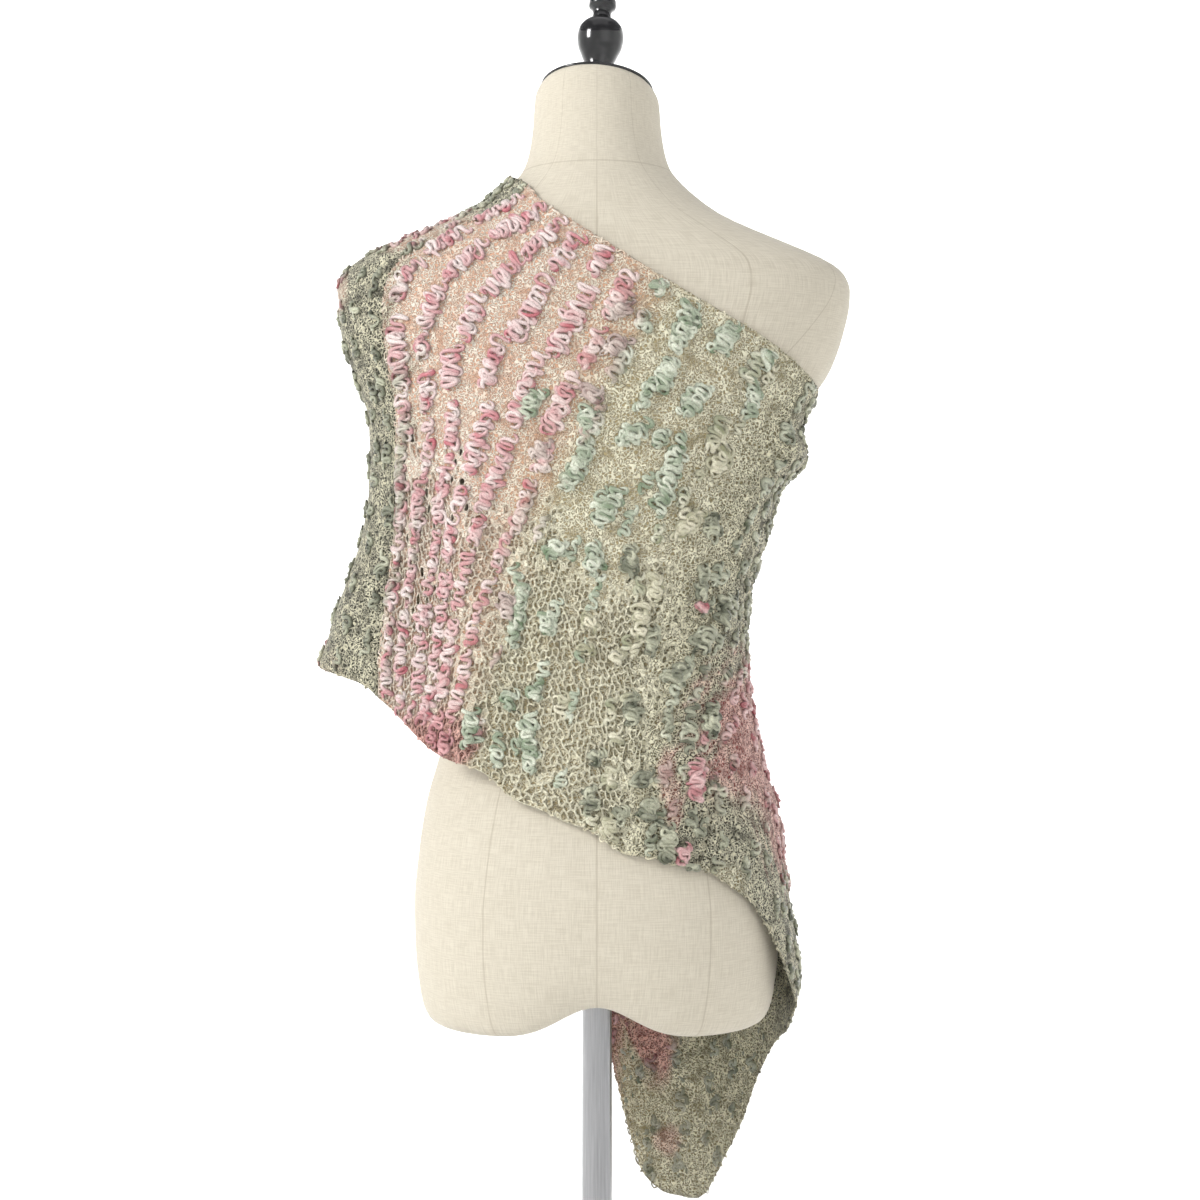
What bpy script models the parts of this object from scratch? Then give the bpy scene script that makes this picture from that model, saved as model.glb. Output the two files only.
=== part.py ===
"""One-shoulder poncho on a limbless dress form with a pole and a round base.

Two knitted panels hang from the left shoulder: a back panel and a front panel whose long tail drops below the form.
Metres, +Z up, origin in the middle of the base's underside, garment front towards -Y, covered shoulder at +X.
Directions round the figure are angles from the centre back (+Y), growing towards the covered shoulder (+X).
"""

from collections import namedtuple
from math import pi, radians

import bmesh
import bpy
import numpy as np
from mathutils import Vector

# Stand
BASE_RADIUS = 0.150
BASE_THICKNESS = 0.012
BASE_EDGE = 0.003
BOSS_RADIUS = 0.022
BOSS_TOP = 0.040
SOCKET_FLOOR = 0.014
POLE_RADIUS = 0.0125
FLANGE_RADIUS = 0.018
FLANGE_THICKNESS = 0.004
FIT_GAP = 0.0003

# Dress form
FORM_BOTTOM = 0.300
ARCH_RISE = 0.027
ARCH_WIDTH = 0.041
ARCH_FADE_TOP = 0.420
SEAT_Z = 0.319
SEAT_RADIUS = 0.030
SEAT_BLEND = 0.022
NECK_TOP = 1.0785
NECK_SLANT_BACK = 0.24
NECK_SLANT_SIDE = 0.06
NECK_SLANT_START = 1.030
FORM_COLUMNS = 36
BUST_ANGLE = radians(152)
BUST_Z = 0.780
BUST_RISE = 0.022
BUST_SPREAD = radians(18)
BUST_HEIGHT = 0.045

FormRow = namedtuple("FormRow", "z half_width back front power")
FORM_ROWS = [
    FormRow(1.0785, 0.0465, 0.0465, 0.0480, 2.00),
    FormRow(1.0755, 0.0495, 0.0490, 0.0510, 2.00),
    FormRow(1.0700, 0.0520, 0.0510, 0.0530, 2.00),
    FormRow(1.047, 0.0538, 0.0535, 0.0540, 2.00),
    FormRow(1.026, 0.0570, 0.0570, 0.0530, 2.00),
    FormRow(1.013, 0.0612, 0.0610, 0.0540, 2.00),
    FormRow(1.006, 0.0655, 0.0640, 0.0550, 2.00),
    FormRow(0.990, 0.0815, 0.0710, 0.0570, 2.00),
    FormRow(0.973, 0.1050, 0.0770, 0.0600, 2.00),
    FormRow(0.959, 0.1350, 0.0810, 0.0630, 2.05),
    FormRow(0.942, 0.1770, 0.0850, 0.0670, 2.10),
    FormRow(0.931, 0.1990, 0.0880, 0.0700, 2.15),
    FormRow(0.923, 0.2075, 0.0900, 0.0730, 2.20),
    FormRow(0.911, 0.2120, 0.0920, 0.0770, 2.25),
    FormRow(0.899, 0.2115, 0.0940, 0.0810, 2.30),
    FormRow(0.878, 0.2072, 0.0970, 0.0900, 2.30),
    FormRow(0.844, 0.1955, 0.1000, 0.1010, 2.30),
    FormRow(0.812, 0.1745, 0.1010, 0.1060, 2.25),
    FormRow(0.778, 0.1595, 0.0990, 0.1070, 2.20),
    FormRow(0.736, 0.1450, 0.0930, 0.1030, 2.15),
    FormRow(0.694, 0.1320, 0.0850, 0.0950, 2.10),
    FormRow(0.652, 0.1225, 0.0780, 0.0880, 2.10),
    FormRow(0.618, 0.1195, 0.0760, 0.0860, 2.10),
    FormRow(0.568, 0.1235, 0.0830, 0.0900, 2.10),
    FormRow(0.526, 0.1310, 0.0950, 0.0940, 2.10),
    FormRow(0.484, 0.1425, 0.1070, 0.0960, 2.15),
    FormRow(0.442, 0.1490, 0.1160, 0.0970, 2.20),
    FormRow(0.400, 0.1525, 0.1200, 0.0970, 2.25),
    FormRow(0.362, 0.1515, 0.1170, 0.0960, 2.30),
    FormRow(0.333, 0.1485, 0.1110, 0.0940, 2.30),
    FormRow(0.317, 0.1455, 0.1050, 0.0910, 2.30),
    FormRow(0.307, 0.1410, 0.1000, 0.0870, 2.30),
    FormRow(0.302, 0.1345, 0.0930, 0.0810, 2.30),
    FormRow(0.300, 0.1230, 0.0850, 0.0740, 2.30),
]
UNDERSIDE_SHARES = (0.86, 0.66, 0.46, 0.34, 0.25)

# Neck cap and finial, turned about the slanted axis of the neck
CAP_RADIUS = 0.0475
CAP_THICKNESS = 0.0030
CAP_DOME = 0.0012
FINIAL_SEGMENTS = 16

FinialRow = namedtuple("FinialRow", "height radius")
FINIAL_ROWS = [
    FinialRow(0.0000, 0.0150),
    FinialRow(0.0040, 0.0150),
    FinialRow(0.0080, 0.0125),
    FinialRow(0.0130, 0.0115),
    FinialRow(0.0190, 0.0120),
    FinialRow(0.0280, 0.0152),
    FinialRow(0.0370, 0.0188),
    FinialRow(0.0450, 0.0200),
    FinialRow(0.0515, 0.0192),
    FinialRow(0.0575, 0.0155),
    FinialRow(0.0625, 0.0090),
    FinialRow(0.0670, 0.0078),
    FinialRow(0.0710, 0.0088),
    FinialRow(0.0740, 0.0116),
    FinialRow(0.0780, 0.0118),
    FinialRow(0.0830, 0.0085),
    FinialRow(0.0860, 0.0040),
]

# Poncho cloth
CLOTH_GAP = 0.0014
CLOTH_WALL = 0.0025
SEAM_INSET = 0.0002
SOFTNESS = 0.006
DRAPE_POWER = 2.4
ROWS = 22
BACK_COLUMNS = 33
FRONT_COLUMNS = 45
UPPER_ROWS = 11
UPPER_SHARE = 0.42
EVEN_WIDTH = 0.17
EVEN_DEPTH = 0.10
SLUB_RISE = 0.0020
SLUB_COLUMNS = 3
SLUB_SHARES = (1.0, 0.6, 0.0, 0.0)
HEM_RIPPLE = 0.0025

DrapeRow = namedtuple("DrapeRow", "z left right back front")
DRAPE_ROWS = [
    DrapeRow(1.050, 0.0450, 0.0450, 0.0400, 0.0400),
    DrapeRow(0.980, 0.0850, 0.0800, 0.0660, 0.0520),
    DrapeRow(0.930, 0.1930, 0.1300, 0.0850, 0.0680),
    DrapeRow(0.904, 0.2085, 0.1500, 0.0930, 0.0800),
    DrapeRow(0.879, 0.2070, 0.1500, 0.0975, 0.0950),
    DrapeRow(0.854, 0.1990, 0.1500, 0.1000, 0.1080),
    DrapeRow(0.828, 0.1920, 0.1450, 0.1010, 0.1170),
    DrapeRow(0.803, 0.1845, 0.1420, 0.1010, 0.1230),
    DrapeRow(0.770, 0.1835, 0.1450, 0.1000, 0.1270),
    DrapeRow(0.736, 0.1855, 0.1420, 0.0980, 0.1280),
    DrapeRow(0.702, 0.1920, 0.1360, 0.0945, 0.1265),
    DrapeRow(0.669, 0.2035, 0.1250, 0.0910, 0.1250),
    DrapeRow(0.644, 0.2130, 0.1200, 0.0895, 0.1240),
    DrapeRow(0.618, 0.2220, 0.1190, 0.0885, 0.1230),
    DrapeRow(0.600, 0.2290, 0.1195, 0.0880, 0.1220),
    DrapeRow(0.568, 0.2240, 0.1230, 0.0900, 0.1210),
    DrapeRow(0.526, 0.2080, 0.1325, 0.0970, 0.1205),
    DrapeRow(0.484, 0.1920, 0.1380, 0.1070, 0.1195),
    DrapeRow(0.442, 0.1780, 0.1450, 0.1150, 0.1190),
    DrapeRow(0.400, 0.1680, 0.1535, 0.1190, 0.1180),
    DrapeRow(0.346, 0.1600, 0.1640, 0.1190, 0.1165),
    DrapeRow(0.324, 0.1580, 0.1640, 0.1185, 0.1160),
    DrapeRow(0.303, 0.1560, 0.1590, 0.1180, 0.1150),
    DrapeRow(0.200, 0.1500, 0.1480, 0.1150, 0.1120),
    DrapeRow(0.110, 0.1450, 0.1440, 0.1120, 0.1100),
]

# Edges of the garment: the height of the neckline and of the hem at each angle, in degrees
Edge = namedtuple("Edge", "angle z")
NECKLINE = [
    Edge(-150, 0.840), Edge(-130, 0.815), Edge(-110, 0.806), Edge(-90, 0.820), Edge(-73, 0.835),
    Edge(-56, 0.867), Edge(-44, 0.887), Edge(-30, 0.907), Edge(-12, 0.929), Edge(12, 0.953),
    Edge(32, 0.973), Edge(47, 0.990), Edge(90, 1.004), Edge(110, 0.990), Edge(130, 0.965),
    Edge(150, 0.935), Edge(180, 0.885),
]
HEM = [
    Edge(-172.0, 0.228), Edge(-168.7, 0.205), Edge(-164.0, 0.161), Edge(-157.0, 0.131), Edge(-148.0, 0.119),
    Edge(-141.0, 0.121), Edge(-135.0, 0.127), Edge(-130.6, 0.144), Edge(-126.0, 0.165), Edge(-121.0, 0.187),
    Edge(-112.7, 0.240), Edge(-100.0, 0.281), Edge(-90.0, 0.298), Edge(-70.6, 0.342), Edge(-62.0, 0.385),
    Edge(-53.0, 0.419), Edge(-39.0, 0.436), Edge(-20.6, 0.449), Edge(-1.3, 0.464), Edge(15.6, 0.480),
    Edge(38.0, 0.504), Edge(57.6, 0.532), Edge(70.0, 0.575), Edge(73.0, 0.587), Edge(80.0, 0.592),
    Edge(95.0, 0.592), Edge(105.0, 0.594), Edge(112.0, 0.588), Edge(120.0, 0.567), Edge(135.0, 0.500),
    Edge(150.0, 0.430), Edge(165.0, 0.360), Edge(180.0, 0.300),
]

# Where each seam and two stripe joins of the back lie, in degrees, at a share of the way from neckline to hem
Course = namedtuple("Course", "share left_seam rose_to_mint mint_to_cream right_seam")
COURSES = [
    Course(0.00, 44, -41, -75, -90),
    Course(0.15, 65, -20, -58, -87),
    Course(0.30, 77, 4, -42, -82),
    Course(0.45, 76, 24, -28, -74),
    Course(0.60, 73, 35, -16, -65),
    Course(0.80, 70, 44, -5, -49),
    Course(1.00, 70, 54, 4, -37),
]
ROSE_SHARE = 0.44
MINT_SHARE = 0.70

# Largest folds, each a soft ridge (or a trough, where the rise is negative) between two places on the cloth
Fold = namedtuple("Fold", "angle z end_angle end_z width rise")
FOLDS = [
    Fold(-92, 0.769, -74, 0.773, 0.016, 0.0150),
    Fold(-70, 0.752, -42, 0.690, 0.014, 0.0035),
    Fold(-100, 0.735, -118, 0.700, 0.016, 0.0040),
    Fold(-60, 0.640, -38, 0.600, 0.016, 0.0030),
    Fold(84, 0.860, 80, 0.640, 0.018, 0.0030),
    Fold(58, 0.780, 62, 0.580, 0.016, -0.0050),
    Fold(50, 0.720, 50, 0.550, 0.016, 0.0040),
    Fold(38, 0.700, 36, 0.530, 0.018, -0.0035),
    Fold(100, 0.840, 104, 0.640, 0.018, -0.0060),
    Fold(115, 0.830, 122, 0.610, 0.018, 0.0050),
    Fold(132, 0.820, 140, 0.540, 0.020, -0.0060),
    Fold(150, 0.720, 158, 0.450, 0.020, 0.0060),
    Fold(172, 0.740, -178, 0.350, 0.022, -0.0070),
    Fold(-164, 0.700, -158, 0.200, 0.020, 0.0070),
    Fold(-148, 0.640, -146, 0.250, 0.020, -0.0060),
    Fold(-134, 0.640, -134, 0.220, 0.018, 0.0060),
    Fold(-112, 0.560, -118, 0.300, 0.020, -0.0040),
    Fold(-92, 0.480, -98, 0.330, 0.018, 0.0040),
]
FOLD_RADIUS = 0.15

# Colours
LINEN = (0.66, 0.60, 0.50)
BLACK_LACQUER = (0.012, 0.012, 0.013)
GREY_STEEL = (0.42, 0.42, 0.43)
SAGE = (0.46, 0.52, 0.46)
ROSE_AND_SAGE = (0.62, 0.60, 0.54)


def wrap(angle):
    """Bring an angle into the half turn on either side of zero."""
    return (angle + pi) % (2 * pi) - pi


def smooth_curve(knots, values):
    """A smooth curve through the knots that does not overshoot between them."""
    order = np.argsort(knots)
    x = np.array(knots, float)[order]
    y = np.array(values, float)[order]
    step = np.diff(x)
    slope = np.diff(y) / step
    tangent = np.zeros(len(y))
    tangent[0] = slope[0]
    tangent[-1] = slope[-1]
    for i in range(1, len(y) - 1):
        if slope[i - 1] * slope[i] > 0:
            before = 2 * step[i] + step[i - 1]
            after = step[i] + 2 * step[i - 1]
            tangent[i] = (before + after) / (before / slope[i - 1] + after / slope[i])

    def at(value):
        value = np.clip(value, x[0], x[-1])
        i = np.clip(np.searchsorted(x, value) - 1, 0, len(step) - 1)
        s = (value - x[i]) / step[i]
        ends = y[i] * (1 + 2 * s) * (1 - s) ** 2 + y[i + 1] * s * s * (3 - 2 * s)
        return ends + step[i] * s * (1 - s) * (tangent[i] * (1 - s) - tangent[i + 1] * s)

    return at


def round_curve(edges):
    """A smooth curve over the angle that closes after a full turn."""
    knots = [edge.angle + turn for turn in (-360, 0, 360) for edge in edges]
    values = [edge.z for edge in edges] * 3
    curve = smooth_curve(knots, values)
    return lambda angle: curve(np.degrees(wrap(angle)))


def columns_of(rows):
    """One smooth curve over z for each named column of a table of sections."""
    return {name: smooth_curve([row.z for row in rows], [getattr(row, name) for row in rows])
            for name in rows[0]._fields if name != "z"}


FORM = columns_of(FORM_ROWS)
DRAPE = columns_of(DRAPE_ROWS)
NECK_Z = round_curve(NECKLINE)
HEM_Z = round_curve(HEM)


def oval(angle, left, right, back, front, power):
    """Radius of a rounded oval with its own reach on each of four sides."""
    across = np.abs(np.sin(angle)) / np.where(np.sin(angle) > 0, left, right)
    along = np.abs(np.cos(angle)) / np.where(np.cos(angle) > 0, back, front)
    return (across ** power + along ** power) ** (-1 / power)


def form_radius(angle, z):
    """Radius of the torso, bust included."""
    half = FORM["half_width"](z)
    radius = oval(angle, half, half, FORM["back"](z), FORM["front"](z), FORM["power"](z))
    for side in (-BUST_ANGLE, BUST_ANGLE):
        turn = wrap(angle - side) / BUST_SPREAD
        rise = (z - BUST_Z) / BUST_HEIGHT
        radius = radius + BUST_RISE * np.exp(-turn ** 2 - rise ** 2)
    return radius


def fold_rise(angle, z):
    """How far the folds lift the cloth, or let it fall in."""
    total = np.zeros(np.shape(angle))
    for fold in FOLDS:
        x = wrap(angle - radians(fold.angle)) * FOLD_RADIUS
        y = z - fold.z
        along_x = wrap(radians(fold.end_angle - fold.angle)) * FOLD_RADIUS
        along_y = fold.end_z - fold.z
        share = np.clip((x * along_x + y * along_y) / (along_x ** 2 + along_y ** 2), 0, 1)
        off = np.hypot(x - share * along_x, y - share * along_y)
        total = total + fold.rise * np.exp(-(off / fold.width) ** 2)
    return total


def cloth_radius(angle, z):
    """Radius of the surface the cloth hangs on: the torso where it rests, free folds where it hangs."""
    torso = form_radius(angle, z)
    hang = oval(angle, *(DRAPE[name](z) for name in ("left", "right", "back", "front")), DRAPE_POWER)
    joined = (torso + hang + np.sqrt((torso - hang) ** 2 + SOFTNESS ** 2)) / 2
    return np.maximum(joined + fold_rise(angle, z), torso)


def cloth_point(angle, z, lift):
    """Points a distance out from the hanging surface, square to it."""
    small = 0.0005
    radius = cloth_radius(angle, z)
    turn = (cloth_radius(angle + small, z) - cloth_radius(angle - small, z)) / (2 * small) / radius
    climb = (cloth_radius(angle, z + small) - cloth_radius(angle, z - small)) / (2 * small)
    out = np.stack([np.sin(angle), np.cos(angle), np.zeros_like(angle)], axis=-1)
    round_it = np.stack([np.cos(angle), -np.sin(angle), np.zeros_like(angle)], axis=-1)
    normal = out - turn[..., None] * round_it
    normal[..., 2] = -climb
    normal /= np.linalg.norm(normal, axis=-1, keepdims=True)
    point = out * radius[..., None]
    point[..., 2] = z
    return point + normal * np.asarray(lift)[..., None]


def hem_height(angle):
    """Height of the hem, with the small ripple of a knitted edge."""
    return HEM_Z(angle) + HEM_RIPPLE * (np.sin(9 * angle + 0.4) + 0.6 * np.sin(17 * angle + 1.1))


def height_along(angle, share, samples=120):
    """Height of the cloth a share of the way from neckline to hem, measured along the cloth."""
    steps = np.linspace(0, 1, samples)
    top = NECK_Z(angle)
    heights = top[:, None] + (hem_height(angle) - top)[:, None] * steps
    radius = cloth_radius(np.repeat(angle[:, None], samples, axis=1), heights)
    pieces = np.hypot(np.diff(radius, axis=1), np.diff(heights, axis=1))
    walked = np.concatenate([np.zeros((len(angle), 1)), np.cumsum(pieces, axis=1)], axis=1)
    walked /= walked[:, -1:]
    return np.array([np.interp(share[i], walked[i], heights[i]) for i in range(len(angle))])


def evened(angle):
    """Stretch angles so that equal steps are nearly equal lengths of cloth."""
    return angle + wrap(np.arctan2(np.sin(angle) / EVEN_WIDTH, np.cos(angle) / EVEN_DEPTH) - angle)


def unevened(angle):
    """Undo evened."""
    return angle + wrap(np.arctan2(EVEN_WIDTH * np.sin(angle), EVEN_DEPTH * np.cos(angle)) - angle)


def course_angle(name, share):
    """Angle of a named line of the course table at a share of the way down."""
    curve = smooth_curve([row.share for row in COURSES], [getattr(row, name) for row in COURSES])
    return np.radians(curve(share))


def seam_angles(panel, shares):
    """Angles of the panel's two seams, with the panel's small inset."""
    left = course_angle("left_seam", shares)
    right = course_angle("right_seam", shares)
    left_inset = SEAM_INSET / cloth_radius(left, height_along(left, shares))
    right_inset = SEAM_INSET / cloth_radius(right, height_along(right, shares))
    if panel == "back":
        return left - left_inset, right + right_inset
    return left + left_inset, right + 2 * pi - right_inset


def panel_angles(panel, columns, shares):
    """Angle of each column of the panel at each share of the way down."""
    left, right = seam_angles(panel, shares)
    across = np.linspace(0, 1, columns + 1)
    angles = np.zeros((len(shares), columns + 1))
    for i, share in enumerate(shares):
        knots = [0.0, 1.0]
        turns = [left[i], right[i]]
        if panel == "back":
            knots[1:1] = [ROSE_SHARE, MINT_SHARE]
            turns[1:1] = [course_angle("rose_to_mint", share), course_angle("mint_to_cream", share)]
        angles[i] = unevened(smooth_curve(knots, evened(np.array(turns, float)))(across))
    return angles


def row_shares():
    """Shares of the way down, closer together over the shoulder than below it."""
    upper = np.linspace(0, UPPER_SHARE, UPPER_ROWS + 1)
    lower = np.linspace(UPPER_SHARE, 1, ROWS - UPPER_ROWS + 1)
    return np.concatenate([upper, lower[1:]])


def slub_rise(row, column, columns):
    """Extra thickness where a thick slub of yarn lies along its course, in broken lengths."""
    if row in (0, ROWS) or column in (0, columns) or column % SLUB_COLUMNS != 1:
        return 0.0
    course = column // SLUB_COLUMNS
    place = (row + 2 * course + course // 3) % len(SLUB_SHARES)
    return SLUB_RISE * SLUB_SHARES[place]


def material(name, colour, roughness, metallic=0.0):
    made = bpy.data.materials.new(name)
    made.use_nodes = True
    shader = made.node_tree.nodes["Principled BSDF"]
    shader.inputs["Base Color"].default_value = (*colour, 1.0)
    shader.inputs["Roughness"].default_value = roughness
    shader.inputs["Metallic"].default_value = metallic
    return made


def add_object(name, bm, finish, parent=None, sharp=35):
    """Turn a bmesh into a named object with outward faces and smooth shading."""
    bmesh.ops.recalc_face_normals(bm, faces=bm.faces)
    mesh = bpy.data.meshes.new(name)
    bm.to_mesh(mesh)
    bm.free()
    mesh.materials.append(finish)
    mesh.shade_smooth()
    mesh.set_sharp_from_angle(angle=radians(sharp))
    made = bpy.data.objects.new(name, mesh)
    bpy.context.scene.collection.objects.link(made)
    made.parent = parent
    return made


def empty(name, location, upright):
    """An empty whose own Z axis points along the given direction."""
    made = bpy.data.objects.new(name, None)
    made.location = location
    made.rotation_euler = Vector(upright).to_track_quat("Z", "Y").to_euler()
    bpy.context.scene.collection.objects.link(made)
    return made


def turned(profile, segments):
    """Turn a profile of (radius, height) points round the Z axis."""
    bm = bmesh.new()
    points = [bm.verts.new((radius, 0.0, height)) for radius, height in profile]
    edges = [bm.edges.new(pair) for pair in zip(points, points[1:])]
    bmesh.ops.spin(bm, geom=points + edges, cent=(0, 0, 0), axis=(0, 0, 1), angle=2 * pi,
                   steps=segments, use_merge=True)
    bmesh.ops.remove_doubles(bm, verts=bm.verts, dist=0.000001)
    return bm


def arch_at(x):
    """How far the underside rises between the two thigh stumps."""
    return ARCH_RISE * np.exp(-(x / ARCH_WIDTH) ** 2)


def form_ring(row):
    """Points of one section of the torso, closer together where it bends more."""
    depth = (row.back + row.front) / 2
    steps = np.arange(FORM_COLUMNS) * 2 * pi / FORM_COLUMNS
    angle = np.arctan2(row.half_width * np.sin(steps), depth * np.cos(steps))
    radius = form_radius(angle, np.full(FORM_COLUMNS, row.z))
    x = radius * np.sin(angle)
    y = radius * np.cos(angle)
    slant = np.clip((row.z - NECK_SLANT_START) / (NECK_TOP - NECK_SLANT_START), 0, 1)
    low = np.clip((ARCH_FADE_TOP - row.z) / (ARCH_FADE_TOP - FORM_BOTTOM), 0, 1)
    tilt = NECK_SLANT_BACK * y + NECK_SLANT_SIDE * x
    z = row.z + tilt * slant ** 2 + arch_at(x) * low ** 2
    return np.stack([x, y, z], axis=1)


def underside_ring(rim, share):
    """A ring of the underside: the arch, flattened round the pole into a seat for the flange."""
    x = rim[:, 0] * share
    y = rim[:, 1] * share
    away = np.clip((np.hypot(x, y) - SEAT_RADIUS) / SEAT_BLEND, 0, 1)
    away = away * away * (3 - 2 * away)
    z = SEAT_Z + (FORM_BOTTOM + arch_at(x) - SEAT_Z) * away
    return np.stack([x, y, z], axis=1)


def make_torso(finish):
    rings = [form_ring(row) for row in FORM_ROWS]
    rings += [underside_ring(rings[-1], share) for share in UNDERSIDE_SHARES]
    bm = bmesh.new()
    place = bm.verts.layers.int.new("place")
    bmesh.ops.create_circle(bm, segments=FORM_COLUMNS, radius=1.0)
    bm.verts.ensure_lookup_table()
    for i, vert in enumerate(sorted(bm.verts, key=lambda v: np.arctan2(v.co.x, v.co.y) % (2 * pi))):
        vert[place] = i
        vert.co = Vector(rings[0][i])
    edges = list(bm.edges)
    bmesh.ops.contextual_create(bm, geom=edges)
    for ring in rings[1:]:
        made = bmesh.ops.extrude_edge_only(bm, edges=edges)["geom"]
        edges = [item for item in made if isinstance(item, bmesh.types.BMEdge) and len(item.link_faces) == 1]
        for vert in {vert for edge in edges for vert in edge.verts}:
            vert.co = Vector(ring[vert[place]])
    bmesh.ops.contextual_create(bm, geom=edges)
    return add_object("form_torso", bm, finish, sharp=50)


def make_panel(name, panel, columns, finish):
    """A closed wall of cloth: a grid on the hanging surface, pulled out to its thickness."""
    shares = row_shares()
    angles = panel_angles(panel, columns, shares)
    flat_angles = angles.ravel()
    heights = height_along(flat_angles, np.repeat(shares, columns + 1)).reshape(angles.shape)
    rise = np.array([[slub_rise(i, j, columns) for j in range(columns + 1)] for i in range(ROWS + 1)])
    inner = cloth_point(angles, heights, np.full(angles.shape, CLOTH_GAP))
    outer = cloth_point(angles, heights, CLOTH_GAP + CLOTH_WALL + rise)
    bm = bmesh.new()
    row_of = bm.verts.layers.int.new("row")
    column_of = bm.verts.layers.int.new("column")
    bmesh.ops.create_grid(bm, x_segments=columns, y_segments=ROWS, size=0.5)
    for vert in bm.verts:
        vert[column_of] = round((vert.co.x + 0.5) * columns)
        vert[row_of] = round((0.5 - vert.co.y) * ROWS)
    lower = list(bm.faces)
    pulled = bmesh.ops.extrude_face_region(bm, geom=lower, use_keep_orig=True)["geom"]
    outside = {item for item in pulled if isinstance(item, bmesh.types.BMVert)}
    for vert in bm.verts:
        points = outer if vert in outside else inner
        vert.co = Vector(points[vert[row_of]][vert[column_of]])
    return add_object(name, bm, finish, sharp=60)


def make_stand(finish):
    inside = POLE_RADIUS + 1.5 * FIT_GAP
    base = turned([
        (0.0, 0.0), (BASE_RADIUS - BASE_EDGE, 0.0), (BASE_RADIUS, BASE_EDGE),
        (BASE_RADIUS, BASE_THICKNESS - BASE_EDGE), (BASE_RADIUS - BASE_EDGE, BASE_THICKNESS),
        (BOSS_RADIUS + BASE_EDGE, BASE_THICKNESS), (BOSS_RADIUS, BASE_THICKNESS + BASE_EDGE),
        (BOSS_RADIUS, BOSS_TOP - BASE_EDGE / 2), (BOSS_RADIUS - BASE_EDGE / 2, BOSS_TOP),
        (inside, BOSS_TOP), (inside, SOCKET_FLOOR), (0.0, SOCKET_FLOOR),
    ], 40)
    add_object("base", base, finish)
    bottom = SOCKET_FLOOR + FIT_GAP
    top = SEAT_Z - FIT_GAP
    pole = turned([
        (0.0, bottom), (POLE_RADIUS, bottom), (POLE_RADIUS, top - FLANGE_THICKNESS),
        (FLANGE_RADIUS, top - FLANGE_THICKNESS), (FLANGE_RADIUS, top), (0.0, top),
    ], 24)
    add_object("pole", pole, finish)


def make_neck_fittings(finish):
    neck = empty("neck_axis", (0.0, 0.0, NECK_TOP), (-NECK_SLANT_SIDE, -NECK_SLANT_BACK, 1.0))
    rim = CAP_THICKNESS / 3
    cap = turned([
        (0.0, FIT_GAP), (CAP_RADIUS - rim, FIT_GAP), (CAP_RADIUS, FIT_GAP + rim),
        (CAP_RADIUS, FIT_GAP + CAP_THICKNESS - rim), (CAP_RADIUS - rim, FIT_GAP + CAP_THICKNESS),
        (FINIAL_ROWS[0].radius + rim, FIT_GAP + CAP_THICKNESS + CAP_DOME), (0.0, FIT_GAP + CAP_THICKNESS + CAP_DOME),
    ], 32)
    add_object("neck_cap", cap, finish, parent=neck)
    foot = 2 * FIT_GAP + CAP_THICKNESS + CAP_DOME
    profile = [(row.radius, foot + row.height) for row in FINIAL_ROWS]
    peak = foot + FINIAL_ROWS[-1].height + FINIAL_ROWS[-1].radius / 4
    finial = turned([(0.0, foot), *profile, (0.0, peak)], FINIAL_SEGMENTS)
    add_object("finial", finial, finish, parent=neck)


def main():
    for old in list(bpy.data.objects):
        bpy.data.objects.remove(old, do_unlink=True)
    linen = material("linen", LINEN, 0.9)
    lacquer = material("black_lacquer", BLACK_LACQUER, 0.2)
    steel = material("grey_steel", GREY_STEEL, 0.4, metallic=0.9)
    back_knit = material("back_knit", ROSE_AND_SAGE, 0.95)
    front_knit = material("front_knit", SAGE, 0.95)
    make_torso(linen)
    make_neck_fittings(lacquer)
    make_stand(steel)
    make_panel("back_panel", "back", BACK_COLUMNS, back_knit)
    make_panel("front_panel", "front", FRONT_COLUMNS, front_knit)


main()
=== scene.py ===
# %% [markdown]
# # A knitted one-shoulder poncho on a dress form
#
# The poncho hangs from the left shoulder of a linen-covered dress form and is seen from behind. It is a sideways
# knit: the courses run from the neckline down to the hem, and the yarn changes from rose through mint to
# grey-green as it goes round. Two yarns are knitted together. A thin curly one makes an open net, and a thick
# soft one makes clusters of loops, the slubs, that stand up from it.
#
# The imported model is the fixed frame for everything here. It gives the size and place of each solid, and this
# file dresses those solids. Metres, +Z up, garment front towards -Y, covered shoulder at +X.

# %% Load the frame
import random
from collections import namedtuple
from math import atan, pi, radians

import bmesh
import bpy
import numpy as np
from mathutils import Matrix, Vector
from mathutils.kdtree import KDTree


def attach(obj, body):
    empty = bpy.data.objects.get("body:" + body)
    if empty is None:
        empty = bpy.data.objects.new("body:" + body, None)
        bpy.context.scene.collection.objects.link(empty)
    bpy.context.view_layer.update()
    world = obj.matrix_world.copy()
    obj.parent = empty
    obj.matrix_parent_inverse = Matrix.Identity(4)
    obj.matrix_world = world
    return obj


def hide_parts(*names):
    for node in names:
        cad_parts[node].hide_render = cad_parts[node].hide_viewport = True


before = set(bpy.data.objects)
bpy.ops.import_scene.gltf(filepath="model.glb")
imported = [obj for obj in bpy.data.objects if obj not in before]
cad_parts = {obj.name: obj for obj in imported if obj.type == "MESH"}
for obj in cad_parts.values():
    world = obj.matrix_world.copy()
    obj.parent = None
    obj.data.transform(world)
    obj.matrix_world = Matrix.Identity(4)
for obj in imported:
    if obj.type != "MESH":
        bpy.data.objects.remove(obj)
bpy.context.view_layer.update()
print("nodes:", ", ".join(sorted(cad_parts)))

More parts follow.
